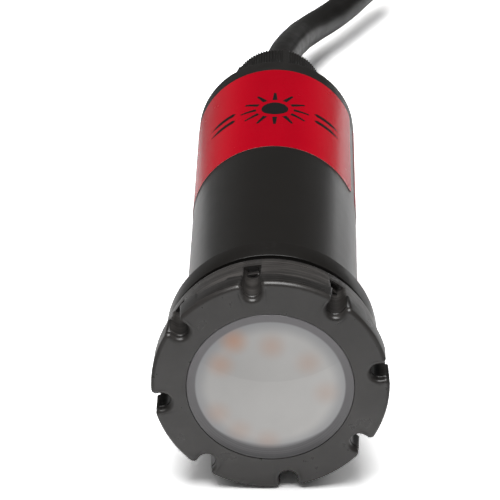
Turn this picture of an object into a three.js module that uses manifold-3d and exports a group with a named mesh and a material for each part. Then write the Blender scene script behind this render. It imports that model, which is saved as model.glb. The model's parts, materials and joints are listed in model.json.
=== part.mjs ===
// An underwater pond light: a sealed tube with a frosted lens at the front, a notched ring that
// screws the lens down, and a cable gland at the back that grips the cord.
//
// Millimetres, +Z up. The light lies along Y: the lens looks towards -Y and the cord leaves
// towards +Y. The origin is the middle of the lens's front face. Distances called "depth" run
// along Y from the face ring's front plane, and angles run clockwise from the top as the lens
// is faced.

import * as THREE from 'three';
import { mergeVertices } from 'three/addons/utils/BufferGeometryUtils.js';
import Module from 'manifold-3d';

const wasm = await Module();
wasm.setup();

// ---------------------------------------------------------------- driving dimensions

const WIDE_SIDES = 48; // sides of the shell-sized round pieces
const SMALL_SIDES = 28; // sides of the round pieces at the gland and inside
const CORD_SIDES = 12;
const WIRE_SIDES = 8; // sides of wires and small pins
const SEAL_SIDES = 6; // sides of a round seal's section
const OVERCUT = 1; // how far a cutter reaches past the face that it cuts

const RING = {
  radius: 33.35, // outside of the front flange
  rearRadius: 33.05, // the flange tapers slightly to the rear
  opening: 23.5, // radius of the hole that shows the lens
  chamfer: 0.4, // at the edge of that hole
  fillet: 1.3, // front outer edge
  flangeDepth: 9, // depth of the flange's rear edge
  lip: 2.6, // thickness of the lip that holds the lens
  skirtRadius: 31.25,
  skirtDepth: 18, // depth of the skirt's rear edge
  bore: 26.6, // thread bore
  rearBore: 29.4, // wider behind the thread, so that the notches drain into it
  rearBoreFront: 12.9,
};

const NOTCH = {
  count: 8,
  firstAngle: -9, // degrees
  floor: 28.4, // radius of the notch's rounded floor
  mouthWidth: 6.2,
  mouthDepth: 2.2,
  channelWidth: 4.8,
  channelDepth: 14,
};

const SLIP_WASHER = { inner: 23.7, outer: 26.2, gap: 0.1 };

const LENS = {
  proud: 1.2, // the middle stands this far in front of the ring
  flat: 4, // radius of the flat in the middle
  barrel: 23.3, // radius inside the ring's opening
  edgeDrop: 1.1, // how far the front surface falls back by its rounded edge
  edge: 0.7, // size of that rounded edge
  flange: 25.7,
  flangeFront: 3.2,
  flangeRear: 6.2,
  hollow: 21.1, // inner radius
  hollowFront: 1.3, // depth of the hollow's front wall in the middle
  hollowEdge: 2.1, // the same near the side wall
  hollowCorner: 1,
};

const LENS_GASKET = { inner: 21.7, rear: 7.8 };

const SHELL = {
  bore: 22.6,
  neck: 26.2, // outside of the threaded neck
  flange: 30.2,
  flangeFront: 21.9,
  flangeRear: 29.8, // this face seats on the wall fitting
  flangeChamfer: 0.4,
  tube: 25,
  tubeRear: 150,
};

const RING_GASKET = { section: 1.4, inner: 26.3, depth: 20.4 };

const CAP = {
  spigot: 22.4,
  spigotFront: 143,
  wall: 19.6, // inner radius
  front: 150.2, // rear part that shows, behind the tube
  endWall: 154,
  rear: 161.6,
  shoulder: 1,
  boss: 13,
  bossRear: 163,
  bore: 8.4,
  grooveFloor: 20.9,
  grooveFront: 145,
  grooveRear: 147.4,
};
const CAP_O_RING = { inner: 20.95, section: 0.77 };

const LABEL = {
  inner: 25.06,
  outer: 25.2,
  front: 100.1,
  rear: 154.4,
  gapStart: 70, // degrees: the two ends of the wrap don't meet
  gapEnd: 80,
};

const GLAND = {
  bore: 6, // clears the cord
  spigot: 8,
  front: 149,
  collar: 13.2,
  collarFront: 164,
  collarRear: 167.5,
  thread: 11.2,
  threadRear: 180,
  clawRadius: 10.4,
  clawRear: 186,
  bushPocket: 8.7,
  bushPocketFront: 172,
};

const LOCK_NUT = { acrossCorners: 25, inner: 8.3, front: 150.5, rear: 153.8 };
const GLAND_SEAL = { inner: 8.4, outer: 12.8 };
const BUSH = { inner: 5.5, outer: 8.5, front: 173, taper: 1.5, tip: 7.6, rear: 188 };
const THRUST_WASHER = { inner: 5.8, outer: 10.9, front: 188.4, rear: 189.4 };

const NUT = {
  radius: 14.8,
  bore: 11.6,
  hole: 5.9,
  front: 167.8,
  endWall: 189.8,
  rear: 193.5,
  edge: 1.2, // rounded rear edge
  lead: 0.4, // front chamfer
  padCount: 5, // plain grip pads, a little proud
  padAngle: 9, // degrees that each one spans
  padFirst: 11.6, // degrees
  padHeight: 0.4,
  padRoot: 1, // how far a pad reaches into the nut's wall
};

const CORD = {
  radius: 5.35,
  bore: 3.95,
  front: 146,
  straightTo: 204, // straight at least as far as the nut travels
  steps: 24,
};

// Where the cord lies after it leaves the nut: it droops and curves to one side.
const CORD_REST = [
  [0.6, 216, -1.2],
  [2.5, 231, -3.8],
  [4.9, 245, -7],
  [8.2, 259.5, -10.3],
  [13.6, 272.5, -12.4],
  [20.5, 284.3, -12.9],
  [26.1, 294.4, -12.4],
  [32.9, 307.4, -11.7],
  [38, 317, -11.3],
];

const CONDUCTOR = {
  radius: 1.55,
  spread: 1.95, // distance of each from the cord's middle
  stripped: 9, // how far the insulation stands out of the jacket's cut end
  copperRadius: 0.85,
  copperLength: 7,
  steps: 32,
};

const BOARD = {
  radius: 21.9,
  front: 10.9,
  rear: 12.5,
  leadHole: 3,
  screwHole: 1.6,
  screwRing: 9,
  screwFirst: 30, // degrees
};
const SCREW = {
  count: 3,
  head: 2.8,
  headHeight: 1.9,
  crown: 2, // radius of the head's flat top
  crownDrop: 0.75,
  shank: 1.25,
  tip: 21,
};
const LED = { count: 12, ring: 16.2, side: 5, height: 0.9, domeRadius: 2, domeHeight: 0.5 };
const BAFFLE = { outer: 21.2, frontInner: 20.3, rearInner: 19.3, front: 6.8 };
const PAD = { radius: 21.6, rear: 13.1, screwHole: 2, leadHole: 3.2 };

const SINK = {
  radius: 22.3,
  plateRear: 17,
  core: 12,
  coreRear: 24,
  finCount: 12,
  finThickness: 1.8,
  hub: 8,
  finInner: 6,
  finOuter: 21.6,
  finRear: 48,
  screwHole: 1.35,
  screwHoleRear: 22.5,
};

const DRIVER = {
  halfWidth: 20.2,
  front: 60,
  rear: 136,
  bottom: -7,
  thickness: 1.6,
};
const CRADLE = { outer: 22.3, inner: 21, front: 58, rear: 138, endAngle: 20 };
const TERMINALS = {
  width: 17,
  length: 9,
  height: 9.6,
  rear: 134,
  hole: 1.8,
  holeDepth: 6,
  spacing: 5,
};
const SOCKET = { width: 11, length: 6, height: 5, front: 65, hole: 1, holeDepth: 3 };
const LEAD = {
  radius: 0.8,
  front: 10,
  boardSpacing: 1.3, // from the axis, at the light's board
  socketSpacing: 2.6, // from the axis, at the driver's socket
  socketDepth: 2.5, // how far it reaches into the socket
  steps: 16,
};
const LIFT = 0.1; // round components stand this far off the driver board
const CAPACITOR = { radius: 5.1, front: 76, rear: 97, x: 11.5 };
const CHOKE = { ring: 6.4, section: 2.8, depth: 106 };
const CHIP = { width: 7, length: 10, height: 1.8, front: 82 };
const RECTIFIER = { width: 5, length: 15, height: 11, x: -14, front: 102 };
const SURGE_DISC = { radius: 4.6, front: 112, rear: 115, x: 13 };
const FUSE = { radius: 2.4, front: 99, rear: 109, x: 14.5 };

// ---------------------------------------------------------------- colours and surfaces

const surface = (color, roughness, metalness = 0) => ({ color, roughness, metalness });

const BLACK_PLASTIC = surface(0x232322, 0.45);
const GLAND_PLASTIC = surface(0x1d1c1b, 0.6);
const CORD_RUBBER = surface(0x1a1a1a, 0.4);
const SEAL_RUBBER = surface(0x0e0e0e, 0.7);
const FROSTED_LENS = surface(0xc9c6c2, 0.35);
const SILICONE = surface(0xd8d5cf, 0.6);
const WHITE_PLASTIC = surface(0xe6e4e0, 0.5);
const RED_LABEL = surface(0xb2001c, 0.25);
const ALUMINIUM = surface(0xb9bcbf, 0.35, 1);
const WHITE_BOARD = surface(0xe9e9e4, 0.4);
const GREEN_BOARD = surface(0x1c5b34, 0.45);
const LED_AMBER = surface(0xe08a3c, 0.4);
const LED_PALE = surface(0xe6dca4, 0.4);
const STEEL = surface(0xa9abad, 0.3, 1);
const COPPER = surface(0xb8683a, 0.3, 1);
const THERMAL_GREY = surface(0x8d9aa6, 0.8);
const DARK_PACKAGE = surface(0x1b1b1d, 0.4);
const TERMINAL_GREEN = surface(0x2f8a57, 0.5);
const COIL_COPPER = surface(0x8c4a22, 0.4, 1);
const DISC_BLUE = surface(0x2d4f8e, 0.4);
const FUSE_GLASS = surface(0xc9cfcf, 0.2);
const BLACK_INSULATION = surface(0x1b1b1d, 0.45);
const WHITE_INSULATION = surface(0xe4e2dd, 0.45);
const GREEN_INSULATION = surface(0x1f7a3c, 0.45);
const RED_INSULATION = surface(0xb01818, 0.45);

// ---------------------------------------------------------------- shapes

const radians = THREE.MathUtils.degToRad;

// A point on a circle round the axis, at an angle clockwise from the top.
function around(radius, degrees) {
  const a = radians(degrees);
  return { x: radius * Math.sin(a), z: radius * Math.cos(a) };
}

// Points on an arc of a profile, from one angle to another in degrees.
function arc(r, depth, size, from, to, pieces = 3) {
  const points = [];
  for (let i = 0; i <= pieces; i += 1) {
    const a = radians(from + ((to - from) * i) / pieces);
    points.push([r + size * Math.cos(a), depth + size * Math.sin(a)]);
  }
  return points;
}

// A round piece from its profile of [radius, depth] points. The profile runs outwards along the
// front, backwards along the outside and returns inside, and closes on itself.
function turned(profile, sides = SMALL_SIDES) {
  const closed = [...profile, profile[0]];
  return new THREE.LatheGeometry(closed.map(([r, d]) => new THREE.Vector2(r, d)), sides);
}

// The same for a profile that starts and ends on the axis.
function turnedSolid(profile, sides = SMALL_SIDES) {
  return new THREE.LatheGeometry(profile.map(([r, d]) => new THREE.Vector2(r, d)), sides);
}

function washer(inner, outer, front, rear, sides = SMALL_SIDES) {
  return turned([[inner, front], [outer, front], [outer, rear], [inner, rear]], sides);
}

// A ring of round section, such as an O-ring.
function roundRing(inner, section, depth, sides) {
  const circle = arc(inner + section, depth, section, 0, 360, SEAL_SIDES);
  return turned(circle.slice(0, -1), sides);
}

// A flat outline in the XZ plane, drawn as the lens is faced, given thickness along Y.
// A round curve in the outline gets the stated number of sides.
function slab(shape, front, rear, sides = 8) {
  const geometry = new THREE.ExtrudeGeometry(shape, {
    depth: rear - front,
    bevelEnabled: false,
    curveSegments: sides / 2,
  });
  return geometry.rotateX(Math.PI / 2).translate(0, rear, 0);
}

// A box by its size and the middle of its bottom, front edge.
function block(width, length, height, x, front, bottom) {
  const geometry = new THREE.BoxGeometry(width, length, height);
  return geometry.translate(x, front + length / 2, bottom + height / 2);
}

// A rod of round section along Y.
function rod(radius, front, rear, x, z, sides = WIRE_SIDES) {
  const geometry = new THREE.CylinderGeometry(radius, radius, rear - front, sides);
  return geometry.translate(x, (front + rear) / 2, z);
}

function disc(radius) {
  const shape = new THREE.Shape();
  shape.absarc(0, 0, radius, 0, 2 * Math.PI, false);
  return shape;
}

// A wire or tube whose section follows a curve.
function swept(shape, curve, steps, sides) {
  return new THREE.ExtrudeGeometry(shape, {
    extrudePath: curve,
    steps,
    bevelEnabled: false,
    curveSegments: sides / 2,
  });
}

// ---------------------------------------------------------------- joins and cuts

function solid(geometry) {
  const bare = geometry.clone();
  bare.deleteAttribute('normal');
  bare.deleteAttribute('uv');
  const merged = mergeVertices(bare, 1e-4);
  return new wasm.Manifold(
    new wasm.Mesh({
      numProp: 3,
      vertProperties: merged.attributes.position.array,
      triVerts: new Uint32Array(merged.index.array),
    }),
  );
}

function toGeometry(manifold) {
  const mesh = manifold.getMesh();
  const geometry = new THREE.BufferGeometry();
  geometry.setAttribute('position', new THREE.BufferAttribute(mesh.vertProperties, 3));
  geometry.setIndex(new THREE.BufferAttribute(mesh.triVerts, 1));
  const flat = geometry.toNonIndexed();
  flat.computeVertexNormals();
  return flat;
}

const joined = (first, ...others) =>
  others.reduce((sum, other) => sum.add(solid(other)), solid(first));

const cutFrom = (manifold, ...tools) =>
  tools.reduce((rest, tool) => rest.subtract(solid(tool)), manifold);

// ---------------------------------------------------------------- assembly helper

const light = new THREE.Group();
light.position.y = LENS.proud;

function add(name, geometry, look) {
  const mesh = new THREE.Mesh(geometry, new THREE.MeshStandardMaterial(look));
  mesh.name = name;
  light.add(mesh);
}

// ---------------------------------------------------------------- face ring

// A U-shaped cutter that leaves a half-round floor.
function notchCutter(width, front, rear, angle) {
  const half = width / 2;
  const top = RING.radius + OVERCUT;
  const shape = new THREE.Shape();
  shape.moveTo(half, top);
  shape.lineTo(-half, top);
  shape.lineTo(-half, NOTCH.floor + half);
  shape.absarc(0, NOTCH.floor + half, half, Math.PI, 2 * Math.PI, false);
  shape.lineTo(half, top);
  return slab(shape, front, rear).rotateY(radians(angle));
}

function faceRing() {
  const { radius, fillet, opening, chamfer } = RING;
  let ring = solid(
    turned(
      [
        [opening, chamfer],
        [opening + chamfer, 0],
        ...arc(radius - fillet, fillet, fillet, -90, 0),
        [RING.rearRadius, RING.flangeDepth],
        [RING.skirtRadius, RING.flangeDepth],
        [RING.skirtRadius, RING.skirtDepth],
        [RING.rearBore, RING.skirtDepth],
        [RING.rearBore, RING.rearBoreFront],
        [RING.bore, RING.rearBoreFront],
        [RING.bore, RING.lip],
        [opening, RING.lip],
      ],
      WIDE_SIDES,
    ),
  );
  for (let i = 0; i < NOTCH.count; i += 1) {
    const angle = NOTCH.firstAngle + (360 / NOTCH.count) * i;
    ring = cutFrom(
      ring,
      notchCutter(NOTCH.mouthWidth, -OVERCUT, NOTCH.mouthDepth, angle),
      notchCutter(NOTCH.channelWidth, -OVERCUT, NOTCH.channelDepth, angle),
    );
  }
  return toGeometry(ring);
}

function slipWasher() {
  const { inner, outer, gap } = SLIP_WASHER;
  return washer(inner, outer, RING.lip + gap, LENS.flangeFront - gap, WIDE_SIDES);
}

add('face_ring', faceRing(), BLACK_PLASTIC);
add('slip_washer', slipWasher(), WHITE_PLASTIC);

// ---------------------------------------------------------------- lens

function lens() {
  const span = LENS.barrel - LENS.edge - LENS.flat;
  const front = [];
  const pieces = 4;
  for (let i = 0; i <= pieces; i += 1) {
    const t = i / pieces;
    front.push([LENS.flat + span * t, -LENS.proud + LENS.edgeDrop * t * t]);
  }
  const edgeDepth = LENS.edgeDrop - LENS.proud;
  return turnedSolid(
    [
      [0, -LENS.proud],
      ...front,
      ...arc(LENS.barrel - LENS.edge, edgeDepth + LENS.edge, LENS.edge, -60, 0, 2),
      [LENS.barrel, LENS.flangeFront],
      [LENS.flange, LENS.flangeFront],
      [LENS.flange, LENS.flangeRear],
      [LENS.hollow, LENS.flangeRear],
      [LENS.hollow, LENS.hollowEdge + LENS.hollowCorner],
      [LENS.hollow - LENS.hollowCorner, LENS.hollowEdge],
      [0, LENS.hollowFront],
    ],
    WIDE_SIDES,
  );
}

add('lens', lens(), FROSTED_LENS);
add(
  'lens_gasket',
  washer(LENS_GASKET.inner, LENS.flange, LENS.flangeRear, LENS_GASKET.rear, WIDE_SIDES),
  SILICONE,
);

// ---------------------------------------------------------------- tube, cap and label

function housing() {
  const { flange, flangeChamfer: edge, flangeFront, flangeRear } = SHELL;
  return turned(
    [
      [SHELL.bore, LENS_GASKET.rear],
      [SHELL.neck, LENS_GASKET.rear],
      [SHELL.neck, flangeFront],
      [flange - edge, flangeFront],
      [flange, flangeFront + edge],
      [flange, flangeRear - edge],
      [flange - edge, flangeRear],
      [SHELL.tube, flangeRear],
      [SHELL.tube, SHELL.tubeRear],
      [SHELL.bore, SHELL.tubeRear],
    ],
    WIDE_SIDES,
  );
}

function rearCap() {
  return turned(
    [
      [CAP.wall, CAP.spigotFront],
      [CAP.spigot, CAP.spigotFront],
      [CAP.spigot, CAP.grooveFront],
      [CAP.grooveFloor, CAP.grooveFront],
      [CAP.grooveFloor, CAP.grooveRear],
      [CAP.spigot, CAP.grooveRear],
      [CAP.spigot, CAP.front],
      [SHELL.tube, CAP.front],
      ...arc(SHELL.tube - CAP.shoulder, CAP.rear - CAP.shoulder, CAP.shoulder, 0, 90),
      [CAP.boss, CAP.rear],
      [CAP.boss, CAP.bossRear],
      [CAP.bore, CAP.bossRear],
      [CAP.bore, CAP.endWall],
      [CAP.wall, CAP.endWall],
    ],
    WIDE_SIDES,
  );
}

// A thin sheet wrapped round the tube, open between its two ends.
function label() {
  const from = radians(90 - LABEL.gapStart);
  const to = radians(90 - LABEL.gapEnd + 360);
  const shape = new THREE.Shape();
  shape.absarc(0, 0, LABEL.outer, from, to, false);
  shape.absarc(0, 0, LABEL.inner, to, from, true);
  return slab(shape, LABEL.front, LABEL.rear, WIDE_SIDES);
}

add('housing', housing(), BLACK_PLASTIC);
add(
  'ring_gasket',
  roundRing(RING_GASKET.inner, RING_GASKET.section, RING_GASKET.depth, WIDE_SIDES),
  SEAL_RUBBER,
);
add('rear_cap', rearCap(), BLACK_PLASTIC);
add(
  'cap_o_ring',
  roundRing(
    CAP_O_RING.inner,
    CAP_O_RING.section,
    (CAP.grooveFront + CAP.grooveRear) / 2,
    WIDE_SIDES,
  ),
  SEAL_RUBBER,
);
add('label', label(), RED_LABEL);

// ---------------------------------------------------------------- cable gland

function glandBody() {
  return turned([
    [GLAND.bore, GLAND.front],
    [GLAND.spigot, GLAND.front],
    [GLAND.spigot, GLAND.collarFront],
    [GLAND.collar, GLAND.collarFront],
    [GLAND.collar, GLAND.collarRear],
    [GLAND.thread, GLAND.collarRear],
    [GLAND.thread, GLAND.threadRear],
    [GLAND.clawRadius, GLAND.clawRear],
    [GLAND.bushPocket, GLAND.clawRear],
    [GLAND.bushPocket, GLAND.bushPocketFront],
    [GLAND.bore, GLAND.bushPocketFront],
  ]);
}

function lockNut() {
  const corner = LOCK_NUT.acrossCorners / 2;
  const shape = new THREE.Shape();
  for (let i = 0; i < 6; i += 1) {
    const { x, z } = around(corner, 60 * i);
    if (i === 0) shape.moveTo(x, z);
    else shape.lineTo(x, z);
  }
  shape.holes.push(disc(LOCK_NUT.inner));
  return slab(shape, LOCK_NUT.front, LOCK_NUT.rear, SMALL_SIDES);
}

function bush() {
  return turned([
    [BUSH.inner, BUSH.front],
    [BUSH.outer, BUSH.front],
    [BUSH.outer, BUSH.rear - BUSH.taper],
    [BUSH.tip, BUSH.rear],
    [BUSH.inner, BUSH.rear],
  ]);
}

// One grip pad: a curved plate that follows the nut and stands a little proud of it.
function nutPad(angle) {
  const half = radians(NUT.padAngle / 2);
  const shape = new THREE.Shape();
  shape.absarc(0, 0, NUT.radius + NUT.padHeight, Math.PI / 2 - half, Math.PI / 2 + half, false);
  shape.absarc(0, 0, NUT.radius - NUT.padRoot, Math.PI / 2 + half, Math.PI / 2 - half, true);
  return slab(shape, NUT.front + NUT.lead, NUT.rear - NUT.lead, 4).rotateY(radians(angle));
}

function glandNut() {
  const shell = turned([
    [NUT.bore, NUT.front],
    [NUT.radius - NUT.lead, NUT.front],
    [NUT.radius, NUT.front + NUT.lead],
    ...arc(NUT.radius - NUT.edge, NUT.rear - NUT.edge, NUT.edge, 0, 90, 3),
    [NUT.hole, NUT.rear],
    [NUT.hole, NUT.endWall],
    [NUT.bore, NUT.endWall],
  ]);
  const pads = [];
  for (let i = 0; i < NUT.padCount; i += 1) {
    pads.push(nutPad(NUT.padFirst + (360 / NUT.padCount) * i));
  }
  return toGeometry(joined(shell, ...pads));
}

add('gland_body', glandBody(), GLAND_PLASTIC);
add('gland_lock_nut', lockNut(), GLAND_PLASTIC);
add(
  'gland_flange_seal',
  washer(GLAND_SEAL.inner, GLAND_SEAL.outer, CAP.bossRear, GLAND.collarFront),
  SEAL_RUBBER,
);
add('gland_bush', bush(), SEAL_RUBBER);
add(
  'gland_thrust_washer',
  washer(THRUST_WASHER.inner, THRUST_WASHER.outer, THRUST_WASHER.front, THRUST_WASHER.rear),
  WHITE_PLASTIC,
);
add('gland_nut', glandNut(), GLAND_PLASTIC);

// ---------------------------------------------------------------- cord and its conductors

function cordCurve() {
  const points = [];
  const straightPieces = 4;
  for (let i = 0; i <= straightPieces; i += 1) {
    const depth = THREE.MathUtils.lerp(CORD.front, CORD.straightTo, i / straightPieces);
    points.push(new THREE.Vector3(0, depth, 0));
  }
  for (const [x, depth, z] of CORD_REST) points.push(new THREE.Vector3(x, depth, z));
  return new THREE.CatmullRomCurve3(points, false, 'centripetal');
}

const cord = cordCurve();

function cordJacket() {
  const shape = disc(CORD.radius);
  shape.holes.push(disc(CORD.bore));
  return swept(shape, cord, CORD.steps, CORD_SIDES);
}

const driverTop = DRIVER.bottom + DRIVER.thickness;
const terminalFront = TERMINALS.rear - TERMINALS.length;
const terminalHoleHeight = driverTop + TERMINALS.height / 2;

// A conductor starts in its terminal, joins the cord and stands out of the cord's cut end.
function conductorCurve(index) {
  const x = (index - 1) * TERMINALS.spacing;
  const points = [
    new THREE.Vector3(x, TERMINALS.rear - TERMINALS.holeDepth + LIFT, terminalHoleHeight),
    new THREE.Vector3(x, TERMINALS.rear + OVERCUT, terminalHoleHeight),
  ];
  const samples = 24;
  const frames = cord.computeFrenetFrames(samples, false);
  const start = frames.normals[0];
  const side = frames.binormals[0];
  const angle = Math.atan2(side.x, start.x) + radians(210 - 120 * index);
  for (let i = 0; i <= samples; i += 1) {
    const offset = frames.normals[i].clone().multiplyScalar(CONDUCTOR.spread * Math.cos(angle));
    offset.addScaledVector(frames.binormals[i], CONDUCTOR.spread * Math.sin(angle));
    points.push(cord.getPointAt(i / samples).add(offset));
  }
  const along = frames.tangents[samples];
  points.push(points.at(-1).clone().addScaledVector(along, CONDUCTOR.stripped));
  return new THREE.CatmullRomCurve3(points, false, 'centripetal');
}

function copperEnd(curve) {
  const from = curve.getPointAt(1);
  const to = from.clone().addScaledVector(curve.getTangentAt(1), CONDUCTOR.copperLength);
  return swept(disc(CONDUCTOR.copperRadius), new THREE.LineCurve3(from, to), 1, WIRE_SIDES);
}

add('cord_jacket', cordJacket(), CORD_RUBBER);
const CONDUCTORS = [
  ['line', BLACK_INSULATION],
  ['neutral', WHITE_INSULATION],
  ['earth', GREEN_INSULATION],
];
CONDUCTORS.forEach(([use, look], index) => {
  const curve = conductorCurve(index);
  add(`conductor_${use}`, swept(disc(CONDUCTOR.radius), curve, CONDUCTOR.steps, WIRE_SIDES), look);
  add(`copper_${use}`, copperEnd(curve), COPPER);
});

// ---------------------------------------------------------------- light engine

const screwAngles = [];
for (let i = 0; i < SCREW.count; i += 1) {
  screwAngles.push(BOARD.screwFirst + (360 / SCREW.count) * i);
}

function screwHoles(radius, front, rear) {
  return screwAngles.map((angle) => {
    const { x, z } = around(BOARD.screwRing, angle);
    return rod(radius, front, rear, x, z);
  });
}

function roundPlate(radius, front, rear, leadHole, screwHole) {
  const plate = solid(washer(leadHole, radius, front, rear, WIDE_SIDES / 2));
  const holes = screwHoles(screwHole, front - OVERCUT, rear + OVERCUT);
  return toGeometry(cutFrom(plate, ...holes));
}

function led(angle) {
  const { side, height, domeRadius, domeHeight } = LED;
  const base = block(side, height, side, 0, BOARD.front - height, LED.ring - side / 2);
  const domeRear = BOARD.front - height / 2;
  const dome = rod(domeRadius, domeRear - height / 2 - domeHeight, domeRear, 0, LED.ring);
  return toGeometry(joined(base, dome)).rotateY(radians(angle));
}

function heatSink() {
  const body = turned(
    [
      [PAD.leadHole, PAD.rear],
      [SINK.radius, PAD.rear],
      [SINK.radius, SINK.plateRear],
      [SINK.core, SINK.plateRear],
      [SINK.core, SINK.coreRear],
      [SINK.hub, SINK.coreRear],
      [SINK.hub, SINK.finRear],
      [PAD.leadHole, SINK.finRear],
    ],
    WIDE_SIDES / 2,
  );
  const fins = [];
  for (let i = 0; i < SINK.finCount; i += 1) {
    const height = SINK.finOuter - SINK.finInner;
    const front = (SINK.plateRear + PAD.rear) / 2;
    const length = SINK.finRear - front;
    const fin = block(SINK.finThickness, length, height, 0, front, SINK.finInner);
    fins.push(fin.rotateY(radians((360 / SINK.finCount) * i)));
  }
  const holes = screwHoles(SINK.screwHole, PAD.rear - OVERCUT, SINK.screwHoleRear);
  return toGeometry(cutFrom(joined(body, ...fins), ...holes));
}

function boardScrew(angle) {
  const { head, crown, crownDrop, shank, tip } = SCREW;
  const top = BOARD.front - SCREW.headHeight;
  const screw = turnedSolid(
    [
      [0, top],
      [crown, top],
      [head, top + crownDrop],
      [head, BOARD.front],
      [shank, BOARD.front],
      [shank, tip - shank],
      [0, tip],
    ],
    WIRE_SIDES,
  );
  const { x, z } = around(BOARD.screwRing, angle);
  return screw.translate(x, 0, z);
}

function baffle() {
  return turned(
    [
      [BAFFLE.frontInner, BAFFLE.front],
      [BAFFLE.outer, BAFFLE.front],
      [BAFFLE.outer, BOARD.front],
      [BAFFLE.rearInner, BOARD.front],
    ],
    WIDE_SIDES / 2,
  );
}

add('light_baffle', baffle(), WHITE_PLASTIC);
add(
  'led_board',
  roundPlate(BOARD.radius, BOARD.front, BOARD.rear, BOARD.leadHole, BOARD.screwHole),
  WHITE_BOARD,
);
for (let i = 0; i < LED.count; i += 1) {
  const look = i % 4 === 1 ? LED_PALE : LED_AMBER;
  add(`led_${i + 1}`, led((360 / LED.count) * i), look);
}
add(
  'thermal_pad',
  roundPlate(PAD.radius, BOARD.rear, PAD.rear, PAD.leadHole, PAD.screwHole),
  THERMAL_GREY,
);
add('heat_sink', heatSink(), ALUMINIUM);
screwAngles.forEach((angle, i) => add(`board_screw_${i + 1}`, boardScrew(angle), STEEL));

// ---------------------------------------------------------------- driver

function cradle() {
  const from = Math.PI + radians(CRADLE.endAngle);
  const to = 2 * Math.PI - radians(CRADLE.endAngle);
  const shape = new THREE.Shape();
  shape.absarc(0, 0, CRADLE.outer, from, to, false);
  shape.absarc(0, 0, CRADLE.inner, to, from, true);
  return slab(shape, CRADLE.front, CRADLE.rear, 20);
}

function terminalBlock() {
  const { width, length, height, rear, holeDepth, spacing } = TERMINALS;
  const body = solid(block(width, length, height, 0, terminalFront, driverTop));
  const holes = [-spacing, 0, spacing].map((x) =>
    rod(TERMINALS.hole, rear - holeDepth, rear + OVERCUT, x, terminalHoleHeight, CORD_SIDES),
  );
  return toGeometry(cutFrom(body, ...holes));
}

const socketHoleHeight = driverTop + SOCKET.height / 2;

function leadSocket() {
  const { width, length, height, front, hole, holeDepth } = SOCKET;
  const body = solid(block(width, length, height, 0, front, driverTop));
  const holes = [-1, 1].map((side) => {
    const x = side * LEAD.socketSpacing;
    return rod(hole, front - OVERCUT, front + holeDepth, x, socketHoleHeight);
  });
  return toGeometry(cutFrom(body, ...holes));
}

// A supply wire from the middle of the light's board, through the heat sink, to the driver.
function lead(side) {
  const near = side * LEAD.boardSpacing;
  const far = side * LEAD.socketSpacing;
  const height = socketHoleHeight;
  const points = [
    [near, LEAD.front, 0],
    [near, (LEAD.front + SINK.finRear) / 2, 0],
    [near, SINK.finRear + OVERCUT, 0],
    [(near + far) / 2, (SINK.finRear + SOCKET.front) / 2, height / 2],
    [far, SOCKET.front - LEAD.socketDepth, height],
    [far, SOCKET.front + LEAD.socketDepth, height],
  ].map((point) => new THREE.Vector3(...point));
  const curve = new THREE.CatmullRomCurve3(points, false, 'centripetal');
  return swept(disc(LEAD.radius), curve, LEAD.steps, WIRE_SIDES);
}

// A round component that lies on the driver board.
function lyingRod({ radius, front, rear, x }) {
  return rod(radius, front, rear, x, driverTop + radius + LIFT, CORD_SIDES);
}

// A box-shaped component that stands on the driver board.
function boxed({ width, length, height, front, x = 0 }) {
  return block(width, length, height, x, front, driverTop);
}

function choke() {
  const ring = new THREE.TorusGeometry(CHOKE.ring, CHOKE.section, WIRE_SIDES, SMALL_SIDES);
  return ring.translate(0, CHOKE.depth, driverTop + CHOKE.section + LIFT);
}

function driverBoard() {
  const { halfWidth, front, rear, bottom, thickness } = DRIVER;
  return block(2 * halfWidth, rear - front, thickness, 0, front, bottom);
}

add('driver_cradle', cradle(), WHITE_PLASTIC);
add('driver_board', driverBoard(), GREEN_BOARD);
add('terminal_block', terminalBlock(), TERMINAL_GREEN);
add('lead_socket', leadSocket(), WHITE_PLASTIC);
add('lead_positive', lead(-1), RED_INSULATION);
add('lead_negative', lead(1), BLACK_INSULATION);
add('storage_capacitor_1', lyingRod({ ...CAPACITOR, x: -CAPACITOR.x }), DARK_PACKAGE);
add('storage_capacitor_2', lyingRod(CAPACITOR), DARK_PACKAGE);
add('driver_chip', boxed(CHIP), DARK_PACKAGE);
add('choke_coil', choke(), COIL_COPPER);
add('bridge_rectifier', boxed(RECTIFIER), DARK_PACKAGE);
add('surge_disc', lyingRod(SURGE_DISC), DISC_BLUE);
add('input_fuse', lyingRod(FUSE), FUSE_GLASS);

export default light;
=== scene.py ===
"""The looks of an underwater pond light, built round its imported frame.

The lens looks towards -Y, the cord leaves towards +Y and +Z is up. Lengths below are millimetres.
"Depth" runs along Y from the face ring's front plane, and angles are degrees clockwise from the
top as the lens is faced. Everything becomes metres in the frame's own axes when a piece is made.
"""

import json
from math import acos, atan2, cos, pi, radians, sin, sqrt, tan

import bmesh
import bpy
import numpy as np
from mathutils import Matrix, Vector

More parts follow.
